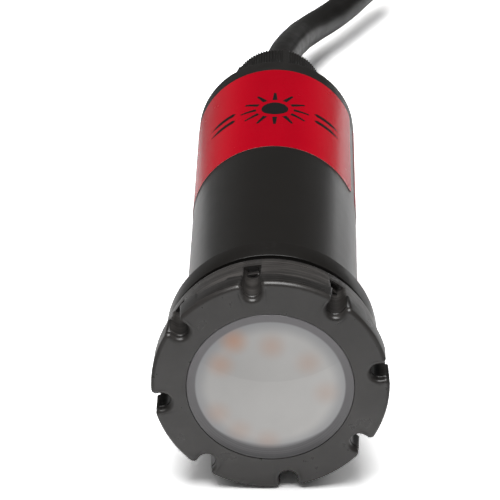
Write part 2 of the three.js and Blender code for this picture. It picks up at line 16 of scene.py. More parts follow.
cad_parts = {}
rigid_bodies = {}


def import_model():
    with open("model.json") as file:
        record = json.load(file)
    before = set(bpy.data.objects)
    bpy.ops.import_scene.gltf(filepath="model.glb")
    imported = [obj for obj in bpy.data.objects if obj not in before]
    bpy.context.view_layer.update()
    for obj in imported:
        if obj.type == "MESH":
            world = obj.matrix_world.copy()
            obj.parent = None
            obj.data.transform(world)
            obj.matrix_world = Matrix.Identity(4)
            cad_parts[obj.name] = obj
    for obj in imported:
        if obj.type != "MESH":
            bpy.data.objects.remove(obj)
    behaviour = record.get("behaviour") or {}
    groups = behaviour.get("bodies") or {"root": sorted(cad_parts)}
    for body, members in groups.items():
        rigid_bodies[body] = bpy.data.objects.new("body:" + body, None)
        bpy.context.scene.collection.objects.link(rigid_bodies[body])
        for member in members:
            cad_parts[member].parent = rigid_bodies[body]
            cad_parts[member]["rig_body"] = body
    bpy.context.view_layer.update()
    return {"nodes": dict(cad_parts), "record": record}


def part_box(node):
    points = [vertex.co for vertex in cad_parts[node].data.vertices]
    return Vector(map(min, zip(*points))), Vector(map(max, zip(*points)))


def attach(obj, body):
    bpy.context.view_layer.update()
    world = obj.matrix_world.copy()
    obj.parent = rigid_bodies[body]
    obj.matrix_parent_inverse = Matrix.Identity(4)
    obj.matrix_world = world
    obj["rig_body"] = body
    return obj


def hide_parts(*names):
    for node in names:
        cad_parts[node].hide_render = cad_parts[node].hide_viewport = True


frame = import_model()

MM = 0.001
FACE_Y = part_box("face_ring")[0].y
SLOT_OF = {part["node"]: part["material_slot"] for part in frame["record"]["subparts"]}


def depths(node):
    """Where a CAD node starts and ends along the light's axis."""
    low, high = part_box(node)
    return (low.y - FACE_Y) / MM, (high.y - FACE_Y) / MM


def reach(node):
    """The outer radius of a round CAD node."""
    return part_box(node)[1].z / MM


# ---- driving dimensions

SIDES = 192  # round shells
SMALL_SIDES = 96  # round pieces at the gland
SHARP_ANGLE = 32  # edges sharper than this stay crisp
FINE_EDGE = 0.15  # rounding of a moulded edge
HIDDEN_EDGE = 0.12  # the same on the pieces inside

RING_RADIUS = reach("face_ring")
RING_REAR = depths("face_ring")[1]
RING_OPENING = 23.5
RING_OPENING_EDGE = 0.2
RING_FILLET = 1.2
FACE_INSET = 1.3  # the flat face ends this far inside the outline
RING_LIP = 2.6  # thickness of the lip that holds the lens in
RING_BORE = 26.6
RING_REAR_BORE = 29.4
RING_REAR_BORE_FRONT = 12.9
RING_THREAD = 0.7
RIM_FRONT = 14.4
RIM_RADIUS = 31.35

NOTCH_COUNT = 8
NOTCH_FIRST = -9
NOTCH_PITCH = 360 / NOTCH_COUNT
NOTCH_FLOOR = 28.4
NOTCH_HALF = 2.4
NOTCH_LEAD_HALF = 2.6
NOTCH_LEAD_DEPTH = 2.1
NOTCH_CORNER = 1.3
NOTCH_RAMP = 0.55  # how far a notch's floor rises towards the rear rim
LAND_POINTS = 26  # points along half a land, a notch's corner, its wall and its floor
CORNER_POINTS = 9
WALL_POINTS = 5
FLOOR_POINTS = 13

# The wall behind the front fillet ends at a worn edge: pairs of an angle and the edge's depth there.
WALL_END = [
    (-58, 8.6), (-48, 8.6), (-38.2, 7.9), (-37.6, 6.6), (-21.8, 6.6), (-21.2, 7.6), (-14, 6.8), (8, 5.9),
    (24, 6.1), (33, 7.2), (42, 8.2), (53.2, 8.4), (53.9, 7.4), (65, 8.1), (80, 8.6), (302, 8.6),
]
WALL_NOMINAL = 8.0  # the wall's end before the table moves it
WALL_TAPER = 0.3
DRAFT = 0.05  # how much each step narrows
STEP_RADII = (32.25, 31.8)
STEP_CORNER = 0.5  # plan rounding of a notch's edges behind the wall
STEP_END = 10.9

THREAD_PITCH = 3.0
THREAD_STEPS = 10  # rings in each turn of a thread
NECK_THREAD = 0.8
NECK_THREAD_REAR = 18.5

LENS_PROUD = -depths("lens")[0]
LENS_FLAT = 4
LENS_BARREL = 23.45
LENS_FALL = 1.1
LENS_EDGE = 0.35
LENS_FLANGE_FRONT = 3.2
LENS_HOLLOW = 21.1
LENS_HOLLOW_FRONT = 1.3
LENS_MILKY = 20.9  # radius of the frosted middle
LENS_HAZE_WIDTH = 4.5  # it turns hazy over this width before its edge
LENS_OVAL = 1.015  # how much shorter it is in height than across
LENS_ARC = 2.6  # height of the curved line above which a painted reflection makes the diffuser a little darker
LENS_ARC_BEND = 0.0163
LENS_ARC_SOFT = 0.25
LENS_SOFT = 0.3  # the frosted middle fades out over this width, and more at its foot, into the rim's painted shade
LENS_SOFT_FOOT = 2.3
LENS_SOFT_HEIGHTS = (-12, -19)  # the fade grows between these heights
LENS_FOOT = (-12, -20)  # heights between which painted shade makes the clear rim dark
LENS_RIPPLED = (-6, -16)  # heights between which its painted rings appear
LENS_CLEAR = 1.1  # how deep the frosted layer seems to lie under the clear front
MAX_SLANT = 1.5  # steepest view for which that depth still counts
LENS_RIPPLES = 9.0  # painted rings in the rim that stand in for its inner wall seen through it, in radians for each millimetre

# Inner radius, edge rounding and sides of each flat ring.
FLAT_RINGS = {
    "slip_washer": (23.7, HIDDEN_EDGE, SIDES),
    "lens_gasket": (21.7, 0.3, SIDES),
    "gland_flange_seal": (8.4, HIDDEN_EDGE, SMALL_SIDES),
    "gland_thrust_washer": (5.8, HIDDEN_EDGE, SMALL_SIDES),
}

TUBE_RADIUS = 25
TUBE_BORE = 22.6
NECK_RADIUS = 26.2
FLANGE_RADIUS = reach("housing")
FLANGE_FRONT = 21.9
FLANGE_REAR = 29.8
FLANGE_EDGE = 0.2

LABEL_RADIUS = reach("label")
LABEL_GAP = (70, 80)
LABEL_CORNER = 2.2
LABEL_INNER = TUBE_RADIUS + 0.06
LABEL_PLAIN = 3  # from this far inside each end, its columns are even
LABEL_COLUMNS = 180
LABEL_ROWS = 12
CUT_FACING = 0.7  # faces that look along the axis more than this are its cut edge
PRINT_FORWARD = 1  # how far in front of the label's middle the print is
PRINT_REACH = 30
PRINT_THICKNESS = 0.02
PRINT_GAP = 0.004
PRINT_STEP = 0.8  # it bends with the label at steps of this width
LAMP_DISC = 4.2  # the printed mark: a disc, its rays and two bars on each side
LAMP_RAYS = 12
RAY_START = 6.0
RAY_END = 11
RAY_HALF = 0.13  # half angles of a ray's two ends, in radians
RAY_TIP = 0.035
BAR_START = 12.8
BAR_END = 23
BAR_HALF = 1.0
BAR_POINT = 3.5
BAR_ROWS = (-2.3, 2.3)

CAP_FRONT = 150.2
CAP_REAR = 161.6
CAP_SHOULDER = 0.9
CAP_WALL_BORE = 19.6
CAP_END_WALL = 154
CAP_SPIGOT = 22.4
CAP_GROOVE = 20.9
CAP_GROOVE_ENDS = (145, 147.4)
CAP_BOSS = 13
CAP_BORE = 8.4

GLAND_FLANGE = 13.2
GLAND_FLANGE_ENDS = (164, 167.5)
GLAND_SPIGOT = 8
GLAND_CORD_HOLE = 6
GLAND_BUSH_BORE = 8.7
GLAND_BUSH_SEAT = 172
GLAND_SCREW = 11.2
GLAND_SCREW_REAR = 180
GLAND_NOSE = 10.4
GLAND_THREAD_PITCH = 1.5
GLAND_THREAD = 0.55

BUSH_BORE = 5.45
BUSH_RADIUS = 8.5
BUSH_NOSE = 7.6
BUSH_TAPER = 1.5

NUT_RADIUS = 14.8
NUT_BORE = 11.6
NUT_HOLE = 5.9
NUT_WALL = 189.8
NUT_REAR_EDGE = 1.3
NUT_PITCH = 3.6  # degrees from rib to rib
NUT_RIB = 0.42
NUT_RIB_SAMPLES = 8
NUT_PADS = 5
NUT_PAD_FIRST = 11.6
NUT_PAD_ANGLE = 9
NUT_PAD_PROUD = 0.38
NUT_RIB_FRONT = 171

CORD_RADIUS = 5.35
CORD_BORE = 3.95
CORD_LOBES = 3  # the cores show through the jacket as soft twisted lobes
CORD_LAY = 46
CORD_LOBE_HEIGHT = 0.07
CORD_SIDES = 72
CORD_STEP = 1.2
CORD_CUT = (0.25, 0.4)  # how much its cut end is rounded, and over what length
STRANDS = 7
STRAND_LAY = 9
STRAND_SIDES = 14
STRAND_STEPS = 16
STRAND_UNEVEN = 0.25  # the strands end at three lengths
STRAND_FIT = 0.98

# The camera's place is in metres and its sensor is in millimetres.
CAMERA_PLACE = (0.01198, -0.71403, 0.43347)
CAMERA_LOOK = (-0.0211, 0.8779, -0.4784)
CAMERA_UP = (0, 0.4786, 0.878)
CAMERA_LENS = 216
CAMERA_SENSOR = 36

FLOOR_TONE = 1.0
# Painted shade on the floor far from the tube, seen only in reflections.
FLOOR_FAR_TONE = 0.28
FLOOR_NEAR = 32
FLOOR_FAR = 105
FLOOR_SEEN = 1.9
FLOOR_LIFT = 0.2  # what the camera adds to it, so that shadows stay soft
FLOOR_LIFT_START = 9  # no lift nearer to the middle than this
FLOOR_LIFT_FULL = 23
FLOOR_CORD = (190, 260)  # between these depths it is painted bright on the cord's right and dark on its left
FLOOR_CORD_SIDE = (5, 45)
FLOOR_BEND = 165  # depth from which it falls away
FLOOR_FALL = 0.015
FLOOR_TOUCH = 4  # depth where the face ring rests on it
FLOOR_GAP = 0.05
FLOOR_FRONT = -66  # its front edge, which shows in the lens as a curved line
FLOOR_CURVE = 0.043
FLOOR_FRONT_END = -200
FLOOR_STEPS = 200
FLOOR_REAR = 460
FLOOR_SIDE = 500

WORLD_SEEN = 1.3
WORLD_HIGH = 0.03  # what reflections find behind the object and above it
WORLD_HORIZON = 0.19
WORLD_FRONT = 0.12  # in front of it and above the horizon
WORLD_FRONT_BELOW = 1.0
# The light's place, aim and size are in metres.
OVERHEAD_PLACE = (-0.05, 0.05, 1.3)
OVERHEAD_AIM = (0, 0.05, 0)
OVERHEAD_SIZE = (1.4, 1.0)
OVERHEAD_RADIANCE = 5.0

GLOW_SIZE = 5.4  # how far a lamp's painted glow spreads through the diffuser
# Each lamp's painted glow on the lens: its angle, its radius and its strength.
GLOWS = [
    (-33, 18.3, 0.62), (-60, 15.8, 0.42), (2, 13.9, 0.32), (51, 13.6, 0.26),
    (94, 15.5, 0.22), (-118, 16.7, 0.26), (-147, 16.0, 0.22), (-177, 16.8, 0.22),
]

# ---- node materials


class Tree:
    """A node tree that is put together one node at a time."""

    def __init__(self, world=None):
        self.look = world or bpy.data.materials.new("look")
        self.look.use_nodes = True
        self.inside = self.look.node_tree
        self.inside.nodes.clear()
        self.output = self.add("OutputWorld" if world else "OutputMaterial")
        self.place = self.add("TexCoord").outputs["Object"]

    def add(self, kind, settings=None, **inputs):
        """A node of the kind. Input names use _ for a space, and a value may be a socket."""
        made = self.inside.nodes.new("ShaderNode" + kind)
        for name, value in (settings or {}).items():
            setattr(made, name, value)
        for name, value in inputs.items():
            self.feed(made.inputs[name.replace("_", " ")], value)
        return made

    def feed(self, socket, value):
        """Links a socket or sets a value. A colour is given without its alpha."""
        if isinstance(value, bpy.types.NodeSocket):
            self.inside.links.new(value, socket)
        else:
            socket.default_value = (*value, 1.0) if socket.type == "RGBA" else value

    def math(self, operation, first, second=0.0):
        made = self.add("Math", {"operation": operation})
        self.feed(made.inputs[0], first)
        self.feed(made.inputs[1], second)
        return made.outputs[0]

    def times(self, first, second):
        return self.math("MULTIPLY", first, second)

    def plus(self, first, second):
        return self.math("ADD", first, second)

    def minus(self, first, second):
        return self.math("SUBTRACT", first, second)

    def noise(self, size, detail=3.0, stretch=(1, 1, 1), roughness=0.55):
        """Noise with features of about the size, in millimetres."""
        place = self.add("Mapping", Vector=self.place, Scale=stretch).outputs[0]
        scale = 1 / (size * MM)
        made = self.add("TexNoise", Vector=place, Scale=scale, Detail=detail, Roughness=roughness)
        return made.outputs[0]

    def span(self, value, low, high, to_low=0.0, to_high=1.0):
        """Maps a range of values onto another, smoothly and clamped."""
        made = self.add("MapRange", {"interpolation_type": "SMOOTHSTEP"}, Value=value)
        names = ("From Min", "From Max", "To Min", "To Max")
        for name, bound in zip(names, (low, high, to_low, to_high)):
            self.feed(made.inputs[name], bound)
        return made.outputs[0]

    def mix(self, share, first, second):
        """Two colours mixed."""
        return self.add("MixRGB", Fac=share, Color1=first, Color2=second).outputs[0]

    def blend(self, share, first, second):
        """Two numbers mixed."""
        return self.add("Mix", Factor=share, A=first, B=second).outputs["Result"]

    def axes(self, vector):
        return self.add("SeparateXYZ", Vector=vector).outputs

    def flat(self, x, z):
        return self.add("CombineXYZ", X=x, Z=z).outputs[0]

    def distance(self, vector, centre=(0, 0, 0)):
        made = self.add("VectorMath", {"operation": "DISTANCE"}, Vector=vector)
        made.inputs[1].default_value = centre
        return made.outputs["Value"]

    def shade(self, colour, amount):
        """A colour made lighter or darker by a factor."""
        return self.add("HueSaturation", Color=colour, Value=amount).outputs[0]

    def bump(self, height, distance, under=None):
        made = self.add("Bump", Height=height, Distance=distance * MM, Strength=1.0)
        if under:
            self.feed(made.inputs["Normal"], under)
        return made.outputs[0]

    def show(self, surface):
        self.feed(self.output.inputs["Surface"], surface)
        return self.look

    def finish(self, **inputs):
        return self.show(self.add("BsdfPrincipled", **inputs).outputs[0])


def wall_band(tree):
    """The tone of the face ring: turned lines behind its face, a darker band on its wall and painted
    shade inside its notches.
    """
    axes = tree.axes(tree.place)
    flat = tree.flat(axes["X"], axes["Z"])
    step = STEP_RADII[0]
    outside = tree.span(tree.distance(flat), (step - 0.1) * MM, (step + 0.4) * MM)
    depth = tree.minus(axes["Y"], FACE_Y)
    behind = tree.span(depth, (RING_FILLET - 0.2) * MM, (RING_FILLET + 0.6) * MM)
    share = tree.times(outside, behind)
    # Noise that makes the darker band weaker in patches.
    band_patches = tree.span(tree.noise(2.5, detail=5, stretch=(1, 0.4, 1)), 0.42, 0.62, 1.0, 0.8)
    band = tree.span(tree.times(share, band_patches), 0, 1, 1.0, 0.4)
    lines = tree.noise(0.55, detail=4, stretch=(0.02, 1, 0.02), roughness=0.7)
    turned = tree.span(lines, 0.42, 0.60, 0.65, 1.9)
    # Painted shade: the insides of the notches are made darker.
    angle = tree.math("ARCTAN2", axes["X"], axes["Z"])
    angle = tree.minus(angle, radians(NOTCH_FIRST))
    wave = tree.math("COSINE", tree.times(angle, NOTCH_COUNT))
    edge = cos(NOTCH_COUNT * NOTCH_LEAD_HALF / (NOTCH_FLOOR + NOTCH_HALF))
    notch_painted_shade = tree.span(wave, edge - 0.03, edge + 0.03, 1.0, 0.72)
    rear = tree.blend(behind, 1.0, tree.times(turned, notch_painted_shade))
    return tree.times(band, rear)


def moulded(
    colour, roughness, grain=0.35, grain_height=0.004, variation=0.12, wear=0.0, streaks=0.0,
    specular=0.5, coat=0.0, sheen=0.0, bounce=1.0, band=False, smudges=0.06, painted_side_light=1.0,
):
    """A moulded or drawn surface: cloudy tone, fine grain, uneven gloss and rubbed edges.

    A bounce below 1 mutes the tint that it throws onto its neighbours. A painted side light above 1 makes
    it lighter where it faces sideways, as painted light from the sides.
    """
    tree = Tree()
    cloud = tree.span(tree.noise(14, detail=4), 0.3, 0.7, 1 - variation, 1 + variation)
    surface = tree.shade(colour, cloud)
    if wear:
        edge = tree.span(tree.add("NewGeometry").outputs["Pointiness"], 0.515, 0.56)
        patchy = tree.span(tree.noise(1.4, detail=5), 0.5, 0.68)
        surface = tree.mix(tree.times(tree.times(edge, patchy), wear), surface, WORN)
    if band:
        # The face ring's tone, with painted shade inside its notches.
        surface = tree.shade(surface, wall_band(tree))
    # Painted light: lighter where it faces sideways.
    if painted_side_light > 1:
        facing = tree.axes(tree.add("NewGeometry").outputs["Normal"])
        sideways = tree.math("ABSOLUTE", facing["X"])
        surface = tree.shade(surface, tree.span(sideways, 0.15, 0.75, 1.0, painted_side_light))
    if bounce < 1:
        onward = tree.add("LightPath").outputs["Is Diffuse Ray"]
        surface = tree.shade(surface, tree.span(onward, 0, 1, 1.0, bounce))
    smudge = tree.noise(5, detail=5, roughness=0.6)
    gloss = tree.span(smudge, 0.3, 0.75, roughness - smudges, roughness + smudges)
    normal = tree.bump(tree.noise(grain, detail=2), grain_height)
    if streaks:
        lines = tree.noise(0.5, detail=3, stretch=(1, 0.012, 1))
        normal = tree.bump(lines, streaks, under=normal)
        gloss = tree.plus(gloss, tree.span(lines, 0.35, 0.65, -0.005, 0.005))
    return tree.finish(
        Base_Color=surface, Roughness=gloss, Specular_IOR_Level=specular, Normal=normal,
        Coat_Weight=coat, Coat_Roughness=0.12, Sheen_Weight=sheen, Sheen_Roughness=0.4,
    )


def brushed(colour, roughness, stretch, size=0.25):
    """Metal with fine lines along one axis."""
    tree = Tree()
    lines = tree.noise(size, detail=4, stretch=stretch)
    tone = tree.span(lines, 0.3, 0.7, 0.86, 1.1)
    stain = tree.span(tree.noise(6, detail=4), 0.35, 0.7, 0.9, 1.04)
    surface = tree.shade(colour, tree.times(tone, stain))
    gloss = tree.span(lines, 0.3, 0.7, roughness - 0.06, roughness + 0.1)
    return tree.finish(
        Base_Color=surface, Roughness=gloss, Metallic=1.0, Normal=tree.bump(lines, 0.004)
    )


def circuit_board(mask, copper):
    """Solder mask over copper tracks, with bare pads here and there."""
    tree = Tree()
    place = tree.add("Mapping", Vector=tree.place, Scale=(1, 1, 0.001)).outputs[0]
    kind = {"distance": "MANHATTAN", "feature": "DISTANCE_TO_EDGE"}
    cells = tree.add("TexVoronoi", kind, Vector=place, Scale=1 / (5 * MM))
    tracks = tree.span(cells.outputs["Distance"], 0.05, 0.09)
    raised = tree.shade(mask, tree.span(tracks, 0, 1, 1.35, 0.9))
    dots = tree.add("TexVoronoi", Vector=place, Scale=1 / (3.1 * MM)).outputs["Distance"]
    pads = tree.minus(1.0, tree.span(dots, 0.12, 0.15))
    return tree.finish(
        Base_Color=tree.mix(pads, raised, copper),
        Roughness=tree.span(pads, 0, 1, 0.38, 0.25),
        Metallic=tree.times(pads, 0.9),
        Normal=tree.bump(tree.minus(1.0, tracks), 0.03),
    )


def lamp_phosphor(colour):
    """The gel of an LED package: lit a little from within and glossy on top."""
    tree = Tree()
    speckle = tree.span(tree.noise(0.3, detail=4), 0.35, 0.7, 0.85, 1.15)
    surface = tree.shade(colour, speckle)
    return tree.finish(
        Base_Color=surface,
        Roughness=tree.span(speckle, 0.8, 1.2, 0.2, 0.35),
        Emission_Color=surface,
        Emission_Strength=0.35,
        Normal=tree.bump(tree.noise(0.4), 0.01),
    )


def clear_tube(colour):
    tree = Tree()
    haze = tree.noise(2, detail=3)
    return tree.finish(
        Base_Color=tree.shade(colour, tree.span(haze, 0.3, 0.7, 0.92, 1.05)),
        Roughness=tree.span(haze, 0.3, 0.7, 0.03, 0.12),
        Transmission_Weight=0.9,
        IOR=1.47,
        Normal=tree.bump(haze, 0.002),
    )


def drawn_copper(colour):
    """Enamelled turns of wire round a coil's core, or a strand's drawn surface."""
    tree = Tree()
    bands = {"bands_direction": "DIAGONAL"}
    turns = tree.add("TexWave", bands, Vector=tree.place, Scale=1 / (2.2 * MM)).outputs[0]
    return tree.finish(
        Base_Color=tree.shade(colour, tree.span(turns, 0.2, 0.8, 0.75, 1.1)),
        Roughness=tree.span(tree.noise(0.7, detail=2), 0.3, 0.7, 0.22, 0.4),
        Metallic=1.0,
        Normal=tree.bump(turns, 0.03),
    )


def parallax(tree, axes):
    """Height of the point that is seen in the frosted layer, a little under the clear front."""
    toward = tree.axes(tree.add("NewGeometry").outputs["Incoming"])
    slant = tree.math("DIVIDE", toward["Z"], toward["Y"])
    slant = tree.math("MINIMUM", tree.math("MAXIMUM", slant, -MAX_SLANT), MAX_SLANT)
    return tree.plus(axes["Z"], tree.times(slant, LENS_CLEAR * MM))


def lens_middle(tree, axes, radius):
    """The diffuser: greyer towards its edge, with painted light that makes it lighter to the right, a
    painted reflection that makes it darker above the curved line, and the lamps' glow painted in.
    """
    cloud = tree.span(tree.noise(16, detail=2), 0.3, 0.7, 0.97, 1.03)
    # Painted light: the diffuser gets lighter from left to right.
    across = tree.span(axes["X"], -15 * MM, 12 * MM, 0.98, 1.12)
    surface = tree.shade(LENS_WHITE, tree.times(cloud, across))
    # Painted reflection: the diffuser is a little darker above a curved line.
    sag = tree.times(tree.times(axes["X"], axes["X"]), LENS_ARC_BEND / MM)
    above = tree.minus(axes["Z"], tree.plus(sag, LENS_ARC * MM))
    surface = tree.shade(surface, tree.span(above, -LENS_ARC_SOFT * MM, LENS_ARC_SOFT * MM, 1.0, 0.94))
    hazy = tree.span(radius, LENS_MILKY - LENS_HAZE_WIDTH, LENS_MILKY, 0.0, 0.55)
    surface = tree.mix(hazy, surface, LENS_HAZE)

    flat = tree.add("CombineXYZ", X=axes["X"], Z=axes["Z"]).outputs[0]
    # Painted glow of the lamps behind the diffuser.
    warm = 0.0
    for angle, distance, strength in GLOWS:
        out = distance * MM
        centre = (out * sin(radians(angle)), 0, out * cos(radians(angle)))
        near = tree.span(tree.distance(flat, centre), GLOW_SIZE * MM, 0.0, 0.0, strength)
        warm = tree.plus(near, warm)
    return tree.mix(tree.math("MINIMUM", warm, 1.0), surface, LENS_WARM)


def lens_rim(tree, axes, radius):
    """The clear rim: grey, with painted rings for its inner wall seen through it, painted light towards
    the top and painted shade at the foot.
    """
    # Painted rings, stronger low down, stand in for the inner wall seen through the rim.
    rings = tree.math("SINE", tree.times(radius, LENS_RIPPLES))
    high, low = LENS_RIPPLED
    lower = tree.span(axes["Z"], high * MM, low * MM)
    ripple = tree.times(tree.times(rings, 0.10), lower)
    # Painted light: the rim gets lighter towards the top.
    height = tree.span(axes["Z"], -22 * MM, 22 * MM, 0.75, 1.35)
    surface = tree.shade(LENS_GREY, tree.plus(ripple, height))
    outer = tree.span(radius, LENS_MILKY + 0.9, LENS_BARREL, 0.0, 0.6)
    # Painted shade: the outer part of the rim turns dark at its foot.
    high, low = LENS_FOOT
    foot = tree.span(axes["Z"], high * MM, low * MM)
    return tree.mix(tree.times(outer, foot), surface, LENS_FOOT_SHADE)


def frosted_lens():
    """A milky diffuser with a greyer moulded edge, both with painted light and shade. The lamps behind it
    show as warm patches of painted glow.
    """
    tree = Tree()
    axes = tree.axes(tree.place)
    seen = tree.add("CombineXYZ", X=axes["X"], Z=parallax(tree, axes)).outputs[0]
    oval = tree.add("VectorMath", {"operation": "MULTIPLY"}, Vector=seen)
    oval.inputs[1].default_value = (1 / MM, 0, LENS_OVAL / MM)
    radius = tree.distance(oval.outputs[0])
    middle = lens_middle(tree, axes, radius)
    rim = lens_rim(tree, axes, radius)
    # Near the foot the middle fades out more, into the rim's painted shade.
    high, low = LENS_SOFT_HEIGHTS
    soft = tree.span(axes["Z"], low * MM, high * MM, LENS_SOFT_FOOT, LENS_SOFT)
    share = tree.span(radius, tree.minus(LENS_MILKY, soft), LENS_MILKY + 0.35)
    return tree.finish(
        Base_Color=tree.mix(share, middle, rim),
        Roughness=0.42,
        Specular_IOR_Level=0.35,
        Coat_Weight=0.8,
        Coat_Roughness=0.05,
        Coat_IOR=1.5,
        Normal=tree.bump(tree.noise(0.6, detail=2), 0.001),
    )


WORN = (0.10, 0.10, 0.098)  # black plastic where it is rubbed
LENS_WHITE = (0.65, 0.638, 0.622)
LENS_HAZE = (0.285, 0.298, 0.33)
# The lamps' painted glow on the lens.
LENS_WARM = (0.70, 0.33, 0.175)
LENS_GREY = (0.17, 0.163, 0.17)
# Painted shade at the foot of the clear rim.
LENS_FOOT_SHADE = (0.03, 0.03, 0.032)
BLACK = (0.0138, 0.0126, 0.0114)
RING_BLACK = (0.0455, 0.042, 0.0395)
LOOKS = {
    "black_plastic": moulded(RING_BLACK, 0.40, wear=0.9),
    "gland_plastic": moulded((0.013, 0.012, 0.011), 0.5, wear=0.5),
    "cord_rubber": moulded(
        (0.012, 0.0113, 0.0105), 0.36, grain=0.8, grain_height=0.003, specular=0.6
    ),
    "seal_rubber": moulded((0.008, 0.008, 0.008), 0.62, grain=0.5),
    "frosted_lens": frosted_lens(),
    "silicone": moulded((0.55, 0.53, 0.49), 0.5, sheen=0.1),
    "white_plastic": moulded((0.72, 0.71, 0.68), 0.42, variation=0.04),
    # The label gets painted light on its sides.
    "red_label": moulded(
        (0.455, 0.0, 0.0105), 0.26, grain=1.2, grain_height=0.0001, variation=0.02,
        specular=0.27, bounce=0.25, smudges=0.015, painted_side_light=1.4,
    ),
    "aluminium": brushed((0.62, 0.63, 0.64), 0.34, (1, 0.05, 1), 0.4),
    "white_board": circuit_board((0.74, 0.74, 0.70), (0.6, 0.58, 0.5)),
    "green_board": circuit_board((0.02, 0.12, 0.045), (0.62, 0.6, 0.55)),
    "led_amber": lamp_phosphor((0.75, 0.27, 0.06)),
    "led_pale": lamp_phosphor((0.78, 0.7, 0.38)),
    "steel": brushed((0.45, 0.46, 0.47), 0.28, (1, 1, 1), 0.2),
    "copper": drawn_copper((0.55, 0.22, 0.09)),
    "thermal_grey": moulded((0.26, 0.31, 0.37), 0.8, grain=0.25),
    "dark_package": moulded((0.018, 0.018, 0.02), 0.42, grain=0.2),
    "terminal_green": moulded((0.03, 0.22, 0.09), 0.36),
    "disc_blue": moulded((0.03, 0.08, 0.27), 0.3, grain=0.9, coat=0.4),
    "fuse_glass": clear_tube((0.8, 0.84, 0.84)),
    "black_insulation": moulded((0.016, 0.016, 0.018), 0.38),
    "white_insulation": moulded((0.7, 0.69, 0.66), 0.4, variation=0.05),
    "green_insulation": moulded((0.02, 0.17, 0.045), 0.38),
    "red_insulation": moulded((0.40, 0.01, 0.01), 0.38),
    "drawn_black_tube": moulded(
        BLACK, 0.30, grain_height=0.0002, variation=0.04, streaks=0.00003, wear=0.4, smudges=0.01
    ),
    "cap_black": moulded(BLACK, 0.42, wear=0.5),
    # The face ring: its tone, with painted shade inside its notches.
    "ring_black": moulded(
        RING_BLACK, 0.33, grain_height=0.0012, wear=1.0, specular=0.75, band=True
    ),
    "label_ink": moulded(
        (0.008, 0.008, 0.008), 0.45, grain_height=0.0002, specular=0.25, smudges=0.02
    ),
    "label_cut_edge": moulded((0.62, 0.40, 0.40), 0.5),
}
for name, look in LOOKS.items():
    look.name = name

# ---- meshes from rings of points


def place(name, data):
    """A new object in the scene."""
    made = bpy.data.objects.new(name, data)
    bpy.context.scene.collection.objects.link(made)
    return made


def even_angles(count):
    return np.arange(count) * 2 * pi / count


def level(x, depth, z):
    return np.stack([x, np.broadcast_to(depth, len(x)), z], axis=1)


def plain(depth, radius, angles):
    return level(radius * np.sin(angles), depth, radius * np.cos(angles))


def circle(radius, depth, sides=SIDES):
    return plain(depth, radius, even_angles(sides))


def rounded(corners, pieces=5):
    """Outline points with each corner rounded. A corner is (radius, depth, rounding)."""
    points = []
    count = len(corners)
    for i, (r, d, size) in enumerate(corners):
        here = np.array((r, d), float)
        if size == 0:
            points.append(here)
            continue
        before = np.array(corners[i - 1][:2], float) - here
        after = np.array(corners[(i + 1) % count][:2], float) - here
        before /= np.linalg.norm(before)
        after /= np.linalg.norm(after)
        half = acos(np.clip(before @ after, -1, 1)) / 2
        middle = before + after
        centre = here + middle / np.linalg.norm(middle) * size / sin(half)
        tangent = size / tan(half)
        first = here + before * tangent - centre
        last = here + after * tangent - centre
        sweep = pi - 2 * half
        for k in range(pieces + 1):
            t = k / pieces
            arm = sin((1 - t) * sweep) * first + sin(t * sweep) * last
            points.append(centre + arm / sin(sweep))
    return points


def lathe(profile, sides=SIDES):
    """Rings of a turned piece. A point on the axis becomes a single point."""
    axis_limit = 1e-9
    return [circle(r, d, sides) if r > axis_limit else np.array([[0.0, d, 0.0]]) for r, d in profile]


def turned(corners, sides=SIDES, pieces=5):
    """Rings of a turned piece from the corners of its outline."""
    return lathe(rounded(corners, pieces), sides)


def skin(rings, closed=True):
    """Points and faces of the surface that runs from each ring to the next."""
    points, faces, starts = [], [], []
    for ring in rings:
        starts.append(len(points))
        points.extend(ring)
    pairs = [(i, i + 1) for i in range(len(rings) - 1)]
    if closed:
        pairs.append((len(rings) - 1, 0))
    for a, b in pairs:
        size_a, size_b = len(rings[a]), len(rings[b])
        for i in range(max(size_a, size_b)):
            here = (starts[a] + i % size_a, starts[a] + (i + 1) % size_a)
            there = (starts[b] + (i + 1) % size_b, starts[b] + i % size_b)
            faces.append(list(dict.fromkeys(here + there)))
    return points, faces


def ridge(depth, angles, pitch):
    """How high a right-hand thread stands at a depth and at angles in radians, from 0 to 1."""
    phase = (depth / pitch - angles / (2 * pi)) % 1
    return np.clip(2.2 * np.abs(2 * phase - 1) - 0.6, 0, 1)


def thread_steps(start, end, pitch, angles, steps=THREAD_STEPS):
    """Depths along a thread, each with its fade, over half a turn at both ends, and its height."""
    count = int(abs(end - start) / pitch * steps)
    for depth in np.linspace(start, end, count + 1):
        fade = min(abs(depth - start), abs(end - depth), pitch / 2) / (pitch / 2)
        yield depth, fade, ridge(depth, angles, pitch)


def thread(radius, cut, pitch, front, rear, sides=SIDES):
    """Rings of an outside thread."""
    turns = thread_steps(front, rear, pitch, even_angles(sides))
    return [circle(radius - cut * (1 - fade * height), depth, sides) for depth, fade, height in turns]


def mesh_of(name, surface):
    """A mesh in metres from points and faces in millimetres, with its faces turned outwards."""
    points, faces = surface
    mesh = bpy.data.meshes.new(name)
    mesh.from_pydata((np.array(points) * MM + (0, FACE_Y, 0)).tolist(), [], faces)
    shape = bmesh.new()
    shape.from_mesh(mesh)
    bmesh.ops.remove_doubles(shape, verts=shape.verts, dist=1e-7)
    bmesh.ops.recalc_face_normals(shape, faces=shape.faces)
    shape.to_mesh(mesh)
    shape.free()
    return mesh


